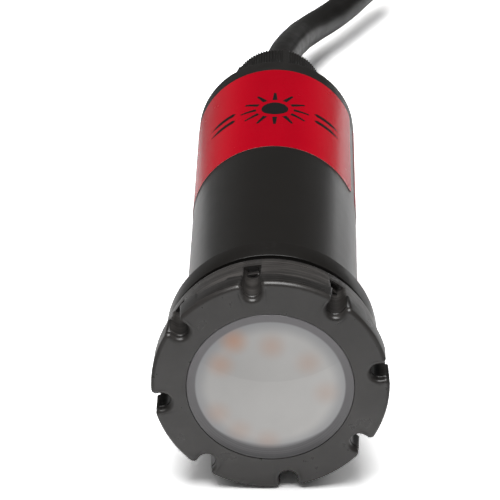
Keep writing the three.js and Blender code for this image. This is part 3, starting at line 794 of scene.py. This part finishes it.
def cut_away(whole, tool):
    """Points and faces of the whole after the tool's volume is taken out of it."""
    solids = [place("solid", mesh_of("solid", surface)) for surface in (whole, tool)]
    boolean = solids[0].modifiers.new("cut", "BOOLEAN")
    boolean.object = solids[1]
    boolean.operation = "DIFFERENCE"
    boolean.solver = "EXACT"
    evaluated = solids[0].evaluated_get(bpy.context.evaluated_depsgraph_get())
    result = bpy.data.meshes.new_from_object(evaluated)
    points = [(np.array(v.co) - (0, FACE_Y, 0)) / MM for v in result.vertices]
    faces = [list(face.vertices) for face in result.polygons]
    for solid in solids:
        bpy.data.objects.remove(solid)
    return points, faces


def make(name, surface, look, body):
    """A piece from points and faces in millimetres, riding on its body."""
    mesh = mesh_of(name, surface)
    mesh.materials.append(look)
    mesh.shade_smooth()
    mesh.set_sharp_from_angle(angle=radians(SHARP_ANGLE))
    piece = place(name, mesh)
    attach(piece, body)
    return piece


def stand_in(node, surface, look=None):
    """A fine piece that is shown in place of a CAD node."""
    slot = SLOT_OF[node]
    body = frame["nodes"][node]["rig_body"]
    piece = make("fine_" + node, surface, look or LOOKS[slot], body)
    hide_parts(node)
    return piece


# ---- face ring


def half_notch(radius, half, inset, corner, ramp=0.0):
    """The left half of one notch pitch, from the middle of a land to the notch's floor.

    The inset is the distance inside the full outline, and the ramp raises the floor.
    """
    radius -= inset
    half += inset
    corner = max(corner - inset, 0.1)
    corner_x = half + corner
    corner_z = sqrt((radius - corner) ** 2 - corner_x**2)
    lowest = NOTCH_FLOOR + NOTCH_HALF - half + ramp
    floor_height = min(lowest + half, corner_z)
    drop = floor_height - lowest
    lean = atan2(corner_x, corner_z)
    points = []
    for angle in np.linspace(-radians(NOTCH_PITCH / 2), -lean, LAND_POINTS, endpoint=False):
        points.append((radius * sin(angle), radius * cos(angle)))
    for turn in np.linspace(pi / 2 + lean, 0, CORNER_POINTS):
        points.append((corner * cos(turn) - corner_x, corner * sin(turn) + corner_z))
    for height in np.linspace(corner_z, floor_height, WALL_POINTS)[1:]:
        points.append((-half, height))
    for turn in np.linspace(pi, 1.5 * pi, FLOOR_POINTS)[1:]:
        points.append((half * cos(turn), floor_height + drop * sin(turn)))
    return np.array(points)


def all_round(half):
    """Mirrors half a pitch and repeats it round the ring: x and z of every point."""
    pitch = np.concatenate([half, half[-2:0:-1] * (-1, 1)])
    parts = []
    for i in range(NOTCH_COUNT):
        angle = radians(NOTCH_FIRST + NOTCH_PITCH * i)
        turn = np.array([[cos(angle), -sin(angle)], [sin(angle), cos(angle)]])
        parts.append(pitch @ turn)
    return np.concatenate(parts)


def angles_of(outline):
    """The angle of each outline point, in radians, never falling along the outline."""
    return np.maximum.accumulate(np.unwrap(np.arctan2(outline[:, 0], outline[:, 1])))


FACE_HALF = half_notch(RING_RADIUS, NOTCH_LEAD_HALF, FACE_INSET, NOTCH_CORNER)
FACE_ANGLES = angles_of(all_round(FACE_HALF))
REAR_ANGLES = angles_of(all_round(half_notch(STEP_RADII[1], NOTCH_HALF, 0, STEP_CORNER)))


def notched(depth, radius, half=NOTCH_HALF, inset=0.0, corner=0.3, ramp=0.0):
    flat = all_round(half_notch(radius, half, inset, corner, ramp))
    return level(flat[:, 0], depth, flat[:, 1])


def wall_end():
    """Where the outer wall ends at each outline point."""
    table = np.array(WALL_END, float)
    start = table[0, 0]
    return np.interp((np.degrees(REAR_ANGLES) - start) % 360 + start, table[:, 0], table[:, 1])


def ring_front():
    """From inside the lip, out over the flat face, to the end of the outer fillet."""
    corners = [
        (RING_BORE, RING_LIP, 0), (RING_OPENING, RING_LIP, FINE_EDGE),
        (RING_OPENING, 0, RING_OPENING_EDGE), (RING_OPENING + 0.8, 0, 0),
    ]
    levels = [plain(d, r, FACE_ANGLES) for r, d in rounded(corners)]
    levels.append(plain(0, RING_OPENING + 2.2, FACE_ANGLES))
    lead = {"half": NOTCH_LEAD_HALF, "corner": NOTCH_CORNER}
    levels.append(notched(0, RING_RADIUS, inset=FACE_INSET, **lead))
    for turn in np.linspace(0, pi / 2, 10):
        inset = RING_FILLET * (1 - sin(turn))
        depth = RING_FILLET * (1 - cos(turn))
        levels.append(notched(depth, RING_RADIUS, inset=inset, **lead))
    levels.append(notched(NOTCH_LEAD_DEPTH, RING_RADIUS - 0.04, **lead))
    return levels


def ring_outside():
    """The stepped wall behind the fillet, down to the front of the rear rim."""
    first, second = STEP_RADII
    corners = [
        (RING_RADIUS - DRAFT, NOTCH_LEAD_DEPTH + 0.25, 0),
        (RING_RADIUS - WALL_TAPER, WALL_NOMINAL, 0.22),
        (first, WALL_NOMINAL, FINE_EDGE), (first - DRAFT, STEP_END, FINE_EDGE),
        (second, STEP_END, FINE_EDGE), (second - DRAFT, RIM_FRONT, FINE_EDGE),
        (RIM_RADIUS + 0.1, RIM_FRONT, 0),
    ]
    shift = wall_end() - WALL_NOMINAL
    levels = []
    for radius, depth in rounded(corners, pieces=4):
        moved = depth + shift if abs(depth - WALL_NOMINAL) < 0.5 else depth
        corner = NOTCH_CORNER if depth < WALL_NOMINAL - 1 else STEP_CORNER
        ramp = NOTCH_RAMP if depth > STEP_END + 1 else 0.0
        levels.append(notched(moved, radius, corner=corner, ramp=ramp))
    return levels


def ring_rear():
    """The plain rim, the rear face and the thread bore, back to the lip."""
    corners = [
        (RIM_RADIUS, RIM_FRONT, 0), (RIM_RADIUS - 0.1, RING_REAR, 0.35),
        (RING_BORE, RING_REAR, 0.2), (RING_BORE, RING_REAR - 2, 0),
    ]
    levels = [plain(d, r, REAR_ANGLES) for r, d in rounded(corners, pieces=4)]
    ends = (RING_REAR_BORE_FRONT - 0.4, RING_LIP + 1.2)
    for depth, fade, height in thread_steps(*ends, THREAD_PITCH, REAR_ANGLES, 12):
        levels.append(plain(depth, RING_BORE + RING_THREAD * fade * (1 - height), REAR_ANGLES))
    return levels


def face_ring():
    whole = skin(ring_front() + ring_outside() + ring_rear())
    beyond = RING_REAR + 2
    counterbore = [
        (0, RING_REAR_BORE_FRONT), (RING_REAR_BORE, RING_REAR_BORE_FRONT),
        (RING_REAR_BORE, beyond), (0, beyond),
    ]
    return cut_away(whole, skin(lathe(counterbore), closed=False))


stand_in("face_ring", face_ring(), LOOKS["ring_black"])

# ---- lens and its seals


def lens_front(radius):
    """Depth of the lens's domed front at a radius."""
    out = max(radius - LENS_FLAT, 0) / (LENS_BARREL - LENS_EDGE - LENS_FLAT)
    return LENS_FALL * out * out - LENS_PROUD


def lens():
    rear = depths("lens")[1]
    flange = reach("lens")
    rim = LENS_BARREL - LENS_EDGE
    dome = [(r, lens_front(r)) for r in np.linspace(0, rim, 40)]
    edge_depth = lens_front(rim) + LENS_EDGE
    edge = []
    for turn in np.linspace(radians(80), 0, 8):
        r = rim + LENS_EDGE * cos(turn)
        edge.append((r, edge_depth - LENS_EDGE * sin(turn)))
    back = [
        (LENS_BARREL, LENS_FLANGE_FRONT - 1, 0), (LENS_BARREL, LENS_FLANGE_FRONT, 0.2),
        (flange, LENS_FLANGE_FRONT, 0.3), (flange, rear, 0.3), (LENS_HOLLOW, rear, 0.2),
        (LENS_HOLLOW, LENS_HOLLOW_FRONT + 0.8, 1.0), (0, LENS_HOLLOW_FRONT, 0),
    ]
    return skin(lathe(dome + edge) + turned(back), closed=False)


def round_seal(node):
    front, rear = depths(node)
    section = (rear - front) / 2
    middle = reach(node) - section
    depth = (front + rear) / 2
    profile = [(middle + section * cos(t), depth + section * sin(t)) for t in even_angles(24)]
    return skin(lathe(profile))


def flat_ring(node, inner, edge, sides):
    front, rear = depths(node)
    outer = reach(node)
    corners = [(inner, front, edge), (outer, front, edge), (outer, rear, edge), (inner, rear, edge)]
    return skin(turned(corners, sides))


stand_in("lens", lens())
for node in ("ring_gasket", "cap_o_ring"):
    stand_in(node, round_seal(node))
for node, shape in FLAT_RINGS.items():
    stand_in(node, flat_ring(node, *shape))

# ---- housing and rear cap


def housing():
    front, rear = depths("housing")
    root = NECK_RADIUS - NECK_THREAD
    inside = [(TUBE_BORE, rear - 2, 0), (TUBE_BORE, front, 0.4), (root, front, 0.4), (root, front + 1, 0)]
    screw = thread(NECK_RADIUS, NECK_THREAD, THREAD_PITCH, front + 1.1, NECK_THREAD_REAR)
    outside = [
        (NECK_RADIUS, NECK_THREAD_REAR + 0.6, 0), (NECK_RADIUS, FLANGE_FRONT, 0.3),
        (FLANGE_RADIUS, FLANGE_FRONT, FLANGE_EDGE), (FLANGE_RADIUS, FLANGE_REAR, FLANGE_EDGE),
        (TUBE_RADIUS, FLANGE_REAR, 0.5), (TUBE_RADIUS, rear, 0.3),
        (TUBE_BORE, rear, 0.3), (TUBE_BORE, rear - 1, 0),
    ]
    return skin(turned(inside) + screw + turned(outside))


def rear_cap():
    front, rear = depths("rear_cap")
    groove_front, groove_rear = CAP_GROOVE_ENDS
    corners = [
        (CAP_WALL_BORE, front, 0.3), (CAP_SPIGOT, front, 0.5),
        (CAP_SPIGOT, groove_front, 0.1), (CAP_GROOVE, groove_front, 0.15),
        (CAP_GROOVE, groove_rear, 0.15), (CAP_SPIGOT, groove_rear, 0.1),
        (CAP_SPIGOT, CAP_FRONT, 0.1), (TUBE_RADIUS, CAP_FRONT, 0.3),
        (TUBE_RADIUS, CAP_REAR, CAP_SHOULDER), (CAP_BOSS, CAP_REAR, 0.4),
        (CAP_BOSS, rear, 0.5), (CAP_BORE, rear, 0.3),
        (CAP_BORE, CAP_END_WALL, 0.2), (CAP_WALL_BORE, CAP_END_WALL, 1.0),
    ]
    return skin(turned(corners, pieces=8))


stand_in("housing", housing(), LOOKS["drawn_black_tube"])
stand_in("rear_cap", rear_cap(), LOOKS["cap_black"])

# ---- wrap label and its print


def on_tube(arc, depth, radius):
    """A point from its arc length round the label and its depth."""
    angle = arc / LABEL_RADIUS
    return (radius * sin(angle), depth, radius * cos(angle))


def wrap_label():
    """A closed thin sheet, open between its ends, whose four corners are rounded."""
    front, rear = depths("label")
    start = radians(LABEL_GAP[1] - 360) * LABEL_RADIUS
    end = radians(LABEL_GAP[0]) * LABEL_RADIUS
    near = LABEL_CORNER * (1 - np.cos(np.linspace(0, pi / 2, 9)))
    even = np.linspace(start + LABEL_PLAIN, end - LABEL_PLAIN, LABEL_COLUMNS)
    arcs = np.concatenate([start + near, even, (end - near)[::-1]])
    rows = []
    for arc in arcs:
        left = min(arc - start, end - arc, LABEL_CORNER)
        inset = LABEL_CORNER - sqrt(LABEL_CORNER**2 - (LABEL_CORNER - left) ** 2)
        low, high = front + inset, rear - inset
        outer_row = [on_tube(arc, d, LABEL_RADIUS) for d in np.linspace(low, high, LABEL_ROWS)]
        inner_row = [on_tube(arc, d, LABEL_INNER) for d in np.linspace(high, low, LABEL_ROWS)]
        rows.append(np.array(outer_row + inner_row))
    points, faces = skin(rows, closed=False)
    size = len(rows[0])
    last = len(points) - size
    for i in range(size // 2 - 1):
        for base in (0, last):
            faces.append([base + i, base + i + 1, base + size - 2 - i, base + size - 1 - i])
    return points, faces


def print_shapes():
    """Outlines of a plain printed mark: a lamp with short rays between two pointed bars."""
    shapes = [[(LAMP_DISC * sin(t), LAMP_DISC * cos(t)) for t in even_angles(48)]]
    for middle in even_angles(LAMP_RAYS):
        ray = [(RAY_START, -RAY_HALF), (RAY_END, -RAY_TIP), (RAY_END, RAY_TIP), (RAY_START, RAY_HALF)]
        shapes.append([(d * sin(middle + a), d * cos(middle + a)) for d, a in ray])
    near, far = BAR_START + BAR_HALF, BAR_END - BAR_POINT
    upper = [(BAR_START, 0), (near, -BAR_HALF), (far, -BAR_HALF)]
    lower = [(BAR_END, 0), (far, BAR_HALF), (near, BAR_HALF)]
    for row in BAR_ROWS:
        for side in (-1, 1):
            shapes.append([(side * x, row + y) for x, y in upper + lower])
    return shapes


def label_print():
    """The mark as a thin closed skin that follows the label's curve."""
    front, rear = depths("label")
    middle = (front + rear) / 2 - PRINT_FORWARD
    shape = bmesh.new()
    for outline in print_shapes():
        shape.faces.new([shape.verts.new((x, y, 0)) for x, y in outline])
    for x in np.arange(-PRINT_REACH, PRINT_REACH, PRINT_STEP):
        whole = shape.verts[:] + shape.edges[:] + shape.faces[:]
        bmesh.ops.bisect_plane(shape, geom=whole, plane_co=(x, 0, 0), plane_no=(1, 0, 0), dist=1e-5)
    bmesh.ops.triangulate(shape, faces=shape.faces)
    bmesh.ops.solidify(shape, geom=shape.faces[:], thickness=PRINT_THICKNESS)
    top = LABEL_RADIUS + PRINT_GAP + PRINT_THICKNESS - max(v.co.z for v in shape.verts)
    points = [on_tube(v.co.x, middle + v.co.y, top + v.co.z) for v in shape.verts]
    faces = [[v.index for v in face.verts] for face in shape.faces]
    shape.free()
    return points, faces


label = stand_in("label", wrap_label())
label.data.materials.append(LOOKS["label_cut_edge"])
for face in label.data.polygons:
    if abs(face.normal.y) > CUT_FACING:
        face.material_index = 1
make("label_print", label_print(), LOOKS["label_ink"], "light_body")

# ---- cable gland


def gland_body():
    front, rear = depths("gland_body")
    flange_front, flange_rear = GLAND_FLANGE_ENDS
    root = GLAND_SCREW - GLAND_THREAD
    inside = [
        (GLAND_BUSH_BORE, GLAND_SCREW_REAR, 0), (GLAND_BUSH_BORE, GLAND_BUSH_SEAT, 0.2),
        (GLAND_CORD_HOLE, GLAND_BUSH_SEAT, 0.2), (GLAND_CORD_HOLE, front, 0.3),
        (GLAND_SPIGOT, front, 0.4), (GLAND_SPIGOT, flange_front, 0.1),
        (GLAND_FLANGE, flange_front, 0.4), (GLAND_FLANGE, flange_rear, 0.4),
        (root, flange_rear, 0.1), (root, flange_rear + 0.7, 0),
    ]
    start = flange_rear + 0.8
    screw = thread(
        GLAND_SCREW, GLAND_THREAD, GLAND_THREAD_PITCH, start, GLAND_SCREW_REAR, SMALL_SIDES
    )
    outside = [
        (root, GLAND_SCREW_REAR + 0.2, 0), (GLAND_NOSE, rear, 0.3),
        (GLAND_BUSH_BORE, rear, 0.3), (GLAND_BUSH_BORE, rear - 2, 0),
    ]
    return skin(turned(inside, SMALL_SIDES) + screw + turned(outside, SMALL_SIDES))


def nut_outline(share):
    """Radius round the nut: fine ribs with plain pads between, where share is the ribs' height."""
    count = round(360 / NUT_PITCH) * NUT_RIB_SAMPLES
    angles = np.arange(count) * 360 / count
    phase = (angles / NUT_PITCH) % 1
    ribs = np.clip(2.6 * np.abs(2 * phase - 1) - 0.9, 0, 1)
    radius = NUT_RADIUS + 0.05 - NUT_RIB * (1 - ribs) * share
    for i in range(NUT_PADS):
        away = np.abs((angles - NUT_PAD_FIRST - 360 / NUT_PADS * i + 180) % 360 - 180)
        pad = np.clip((NUT_PAD_ANGLE / 2 - away) / 0.5, 0, 1)
        radius = np.where(pad > 0, NUT_RADIUS + (NUT_PAD_PROUD * share) * pad, radius)
    return radius


def gland_nut():
    front, rear = depths("gland_nut")
    sides = len(nut_outline(1))
    collar = [
        (NUT_BORE, front + 0.3), (NUT_BORE + 0.3, front), (NUT_RADIUS - 0.5, front),
        (NUT_RADIUS - 0.15, front + 0.1), (NUT_RADIUS, front + 0.4), (NUT_RADIUS, NUT_RIB_FRONT - 0.3),
    ]
    levels = lathe(collar, sides)
    for share, depth in ((0.3, 0.0), (0.8, 0.25), (1.0, 0.6)):
        levels.append(circle(nut_outline(share), NUT_RIB_FRONT + depth, sides))
    for turn in np.linspace(0, pi / 2, 7):
        radius = nut_outline(cos(turn) ** 0.5) - NUT_REAR_EDGE * (1 - cos(turn))
        levels.append(circle(radius, rear - NUT_REAR_EDGE * (1 - sin(turn)), sides))
    hole = [(NUT_HOLE + 0.5, rear), (NUT_HOLE, rear - 0.5), (NUT_HOLE, NUT_WALL), (NUT_BORE, NUT_WALL)]
    return skin(levels + lathe(hole, sides))


def gland_bush():
    front, rear = depths("gland_bush")
    corners = [
        (BUSH_BORE, front, 0.3), (BUSH_RADIUS, front, 0.3), (BUSH_RADIUS, rear - BUSH_TAPER, 0.5),
        (BUSH_NOSE, rear, 0.3), (BUSH_BORE, rear, 0.3),
    ]
    return skin(turned(corners, SMALL_SIDES))


stand_in("gland_body", gland_body())
stand_in("gland_nut", gland_nut())
stand_in("gland_bush", gland_bush())

# ---- cord and wires


def sections(node):
    """Middles of a hollow swept node's cross-sections, from its front end, in millimetres."""
    shape = bmesh.new()
    shape.from_mesh(frame["nodes"][node].data)
    bmesh.ops.remove_doubles(shape, verts=shape.verts, dist=1e-6)
    front = min(v.co.y for v in shape.verts)
    layer = {v for v in shape.verts if v.co.y < front + 1e-5}
    seen = set(layer)
    middles = []
    while layer:
        middles.append(np.mean([v.co for v in layer], axis=0) / MM - (0, FACE_Y / MM, 0))
        layer = {e.other_vert(v) for v in layer for e in v.link_edges} - seen
        seen |= layer
    shape.free()
    return np.array(middles)


def smooth_path(middles, step):
    """The path through the middles, cut into even steps."""
    before = 2 * middles[0] - middles[1]
    after = 2 * middles[-1] - middles[-2]
    padded = np.concatenate([[before], middles, [after]])
    fine = []
    for a, b, c, d in zip(padded, padded[1:], padded[2:], padded[3:]):
        for t in np.linspace(0, 1, 12, endpoint=False):
            bend = (2 * a - 5 * b + 4 * c - d) * t**2 + (3 * b - a - 3 * c + d) * t**3
            fine.append(b + ((c - a) * t + bend) / 2)
    fine = np.array(fine + [middles[-1]])
    travelled = np.concatenate([[0], np.cumsum(np.linalg.norm(np.diff(fine, axis=0), axis=1))])
    count = round(travelled[-1] / step) + 1
    even = np.linspace(0, travelled[-1], count)
    return np.stack([np.interp(even, travelled, fine[:, i]) for i in range(3)], axis=1)


def sweep(path, radius_at, sides):
    """Rings of points along a path. radius_at gives the radii from angles and distance along."""
    angles = even_angles(sides)
    tangents = np.gradient(path, axis=0)
    tangents /= np.linalg.norm(tangents, axis=1)[:, None]
    side = Vector((0, 0, 1)).cross(Vector(tangents[0])).normalized()
    travelled = 0.0
    rings = []
    for i, (middle, tangent) in enumerate(zip(path, tangents)):
        if i:
            travelled += np.linalg.norm(middle - path[i - 1])
            turn = Vector(tangents[i - 1]).rotation_difference(Vector(tangent))
            side = turn @ side
        over = Vector(tangent).cross(side)
        radius = radius_at(angles, travelled)[:, None]
        spokes = np.outer(np.sin(angles), side) + np.outer(np.cos(angles), over)
        rings.append(middle + radius * spokes)
    return rings


def steady(radius):
    """The same radius everywhere, for a sweep."""
    return lambda angles, travelled: np.full(len(angles), radius)


def cord_jacket():
    path = smooth_path(sections("cord_jacket"), CORD_STEP)
    length = CORD_STEP * (len(path) - 1)

    def outer(angles, travelled):
        lobes = np.cos(CORD_LOBES * angles - CORD_LOBES * 2 * pi * travelled / CORD_LAY)
        cut_edge = CORD_CUT[0] * max(1 - (length - travelled) / CORD_CUT[1], 0)
        return CORD_RADIUS - cut_edge - CORD_LOBE_HEIGHT * (1 - lobes) / 2

    bore = sweep(path, steady(CORD_BORE), CORD_SIDES)
    return skin(sweep(path, outer, CORD_SIDES) + bore[::-1])


def main_axis(node):
    """Start, direction and length of a straight wire end, with its radius."""
    points = np.array([v.co for v in frame["nodes"][node].data.vertices], float) / MM
    points -= (0, FACE_Y / MM, 0)
    middle = (points.max(axis=0) + points.min(axis=0)) / 2
    direction = np.linalg.svd(points - points.mean(axis=0))[2][0]
    direction *= np.sign(direction[1])
    along = (points - middle) @ direction
    across = np.linalg.norm(points - middle - np.outer(along, direction), axis=1).max()
    return middle + direction * along.min(), direction, np.ptp(along), across


def strands(node):
    """A bare wire end: six strands laid round a straight seventh."""
    start, direction, length, radius = main_axis(node)
    strand = radius / 3
    side = np.cross(direction, (0, 0, 1))
    side /= np.linalg.norm(side)
    over = np.cross(direction, side)
    points, faces = [], []
    for i in range(STRANDS):
        away = 0 if i == 0 else 2 * strand
        path = []
        for along in np.linspace(0, length - STRAND_UNEVEN * (i % 3), STRAND_STEPS):
            turn = 2 * pi * (along / STRAND_LAY + i / (STRANDS - 1))
            offset = away * (cos(turn) * side + sin(turn) * over)
            path.append(start + direction * along + offset)
        rings = sweep(np.array(path), steady(strand * STRAND_FIT), STRAND_SIDES)
        ends = [[ring.mean(axis=0)] for ring in (rings[0], rings[-1])]
        more, corners = skin([ends[0], *rings, ends[1]], closed=False)
        faces += [[len(points) + corner for corner in face] for face in corners]
        points += more
    return points, faces


stand_in("cord_jacket", cord_jacket())
for wire in ("copper_line", "copper_neutral", "copper_earth"):
    stand_in(wire, strands(wire))

# ---- CAD nodes shown as they are

for node, piece in frame["nodes"].items():
    piece.data.materials.clear()
    piece.data.materials.append(LOOKS[SLOT_OF[node]])
    if piece.hide_render:
        continue
    weld = piece.modifiers.new("weld", "WELD")
    weld.merge_threshold = 1e-6
    if node.startswith("conductor"):
        rounder = piece.modifiers.new("rounder", "SUBSURF")
        rounder.levels = rounder.render_levels = 2
    else:
        bevel = piece.modifiers.new("moulded_edges", "BEVEL")
        bevel.width = HIDDEN_EDGE * MM
        bevel.segments = 2
        bevel.limit_method = "ANGLE"
        bevel.angle_limit = radians(50)

# ---- floor, lights and camera


def floor_look():
    """Over-exposed white as the camera sees it, and greyer far out, as painted shade, where only
    reflections look.
    """
    tree = Tree()
    tree.look.name = "pale_floor"
    mottle = tree.span(tree.noise(30, detail=2), 0.3, 0.7, 0.985, 1.0)
    axes = tree.axes(tree.place)
    # Painted shade: greyer far from the tube, and dark on the cord's left.
    side = tree.math("ABSOLUTE", axes["X"])
    by_tube = tree.span(side, FLOOR_NEAR * MM, FLOOR_FAR * MM, FLOOR_TONE, FLOOR_FAR_TONE)
    low, high = FLOOR_CORD_SIDE
    by_cord = tree.span(axes["X"], low * MM, high * MM, FLOOR_FAR_TONE, FLOOR_TONE)
    low, high = FLOOR_CORD
    beyond = tree.span(axes["Y"], low * MM, high * MM)
    tone = tree.times(mottle, tree.blend(beyond, by_tube, by_cord))
    seen = tree.add("LightPath").outputs["Is Camera Ray"]
    tone = tree.blend(seen, tone, tree.times(mottle, FLOOR_SEEN))
    colour = tree.add("CombineXYZ", X=tone, Y=tone, Z=tone).outputs[0]
    matt = tree.add("BsdfDiffuse", Color=colour).outputs[0]
    away = tree.span(side, FLOOR_LIFT_START * MM, FLOOR_LIFT_FULL * MM, 0.0, FLOOR_LIFT)
    lift = tree.add("Emission", Strength=tree.times(seen, away)).outputs[0]
    both = tree.add("AddShader")
    tree.feed(both.inputs[0], matt)
    tree.feed(both.inputs[1], lift)
    return tree.show(both.outputs[0])


def floor():
    """A pale sheet that touches the face ring and the rear of the label."""
    slope = (RING_RADIUS - LABEL_RADIUS) / (depths("label")[1] - FLOOR_TOUCH)
    points, faces = [], []
    for i, x in enumerate(np.linspace(-FLOOR_SIDE, FLOOR_SIDE, FLOOR_STEPS + 1)):
        front = max(FLOOR_FRONT - FLOOR_CURVE * x * x, FLOOR_FRONT_END)
        for depth in (front, FLOOR_BEND, FLOOR_REAR):
            rise = slope * (min(depth, FLOOR_BEND) - FLOOR_TOUCH)
            fall = FLOOR_FALL * max(depth - FLOOR_BEND, 0)
            points.append((x, depth, rise - fall - RING_RADIUS - FLOOR_GAP))
        if i:
            for k in (3 * i, 3 * i + 1):
                faces.append([k - 3, k, k + 1, k - 2])
    mesh = mesh_of("floor", (points, faces))
    mesh.materials.append(floor_look())
    place("floor", mesh)


def surroundings():
    """White behind the object. Only reflections and soft light find the rest of the room."""
    world = bpy.data.worlds.new("surroundings")
    bpy.context.scene.world = world
    tree = Tree(world)
    axes = tree.axes(tree.add("TexCoord").outputs["Generated"])
    rise = tree.span(axes["Z"], -0.05, 0.05, WORLD_FRONT_BELOW, WORLD_FRONT)
    front = tree.span(axes["Y"], 0.1, -0.3)
    behind = tree.span(axes["Z"], 0.0, 0.32, WORLD_HORIZON, WORLD_HIGH)
    seen = tree.add("LightPath").outputs["Is Camera Ray"]
    strength = tree.blend(seen, tree.blend(front, behind, rise), WORLD_SEEN)
    tree.show(tree.add("Background", Strength=strength).outputs[0])


def overhead_light():
    """A rectangular light of even brightness that the camera doesn't see."""
    width, height = OVERHEAD_SIZE
    light = bpy.data.lights.new("overhead", "AREA")
    light.shape = "RECTANGLE"
    light.size = width
    light.size_y = height
    light.energy = OVERHEAD_RADIANCE * pi * width * height
    box = place("overhead", light)
    box.location = OVERHEAD_PLACE
    box.rotation_mode = "QUATERNION"
    box.rotation_quaternion = (Vector(OVERHEAD_AIM) - Vector(OVERHEAD_PLACE)).to_track_quat("-Z", "Y")
    box.visible_camera = False


def camera():
    look = Vector(CAMERA_LOOK).normalized()
    right = look.cross(Vector(CAMERA_UP)).normalized()
    facing = Matrix((right, right.cross(look), -look)).transposed().to_4x4()
    lens_data = bpy.data.cameras.new("camera")
    lens_data.lens = CAMERA_LENS
    lens_data.sensor_width = CAMERA_SENSOR
    made = place("camera", lens_data)
    made.matrix_world = Matrix.Translation(CAMERA_PLACE) @ facing
    bpy.context.scene.camera = made


floor()
surroundings()
overhead_light()
camera()
bpy.context.scene.view_settings.view_transform = "Standard"
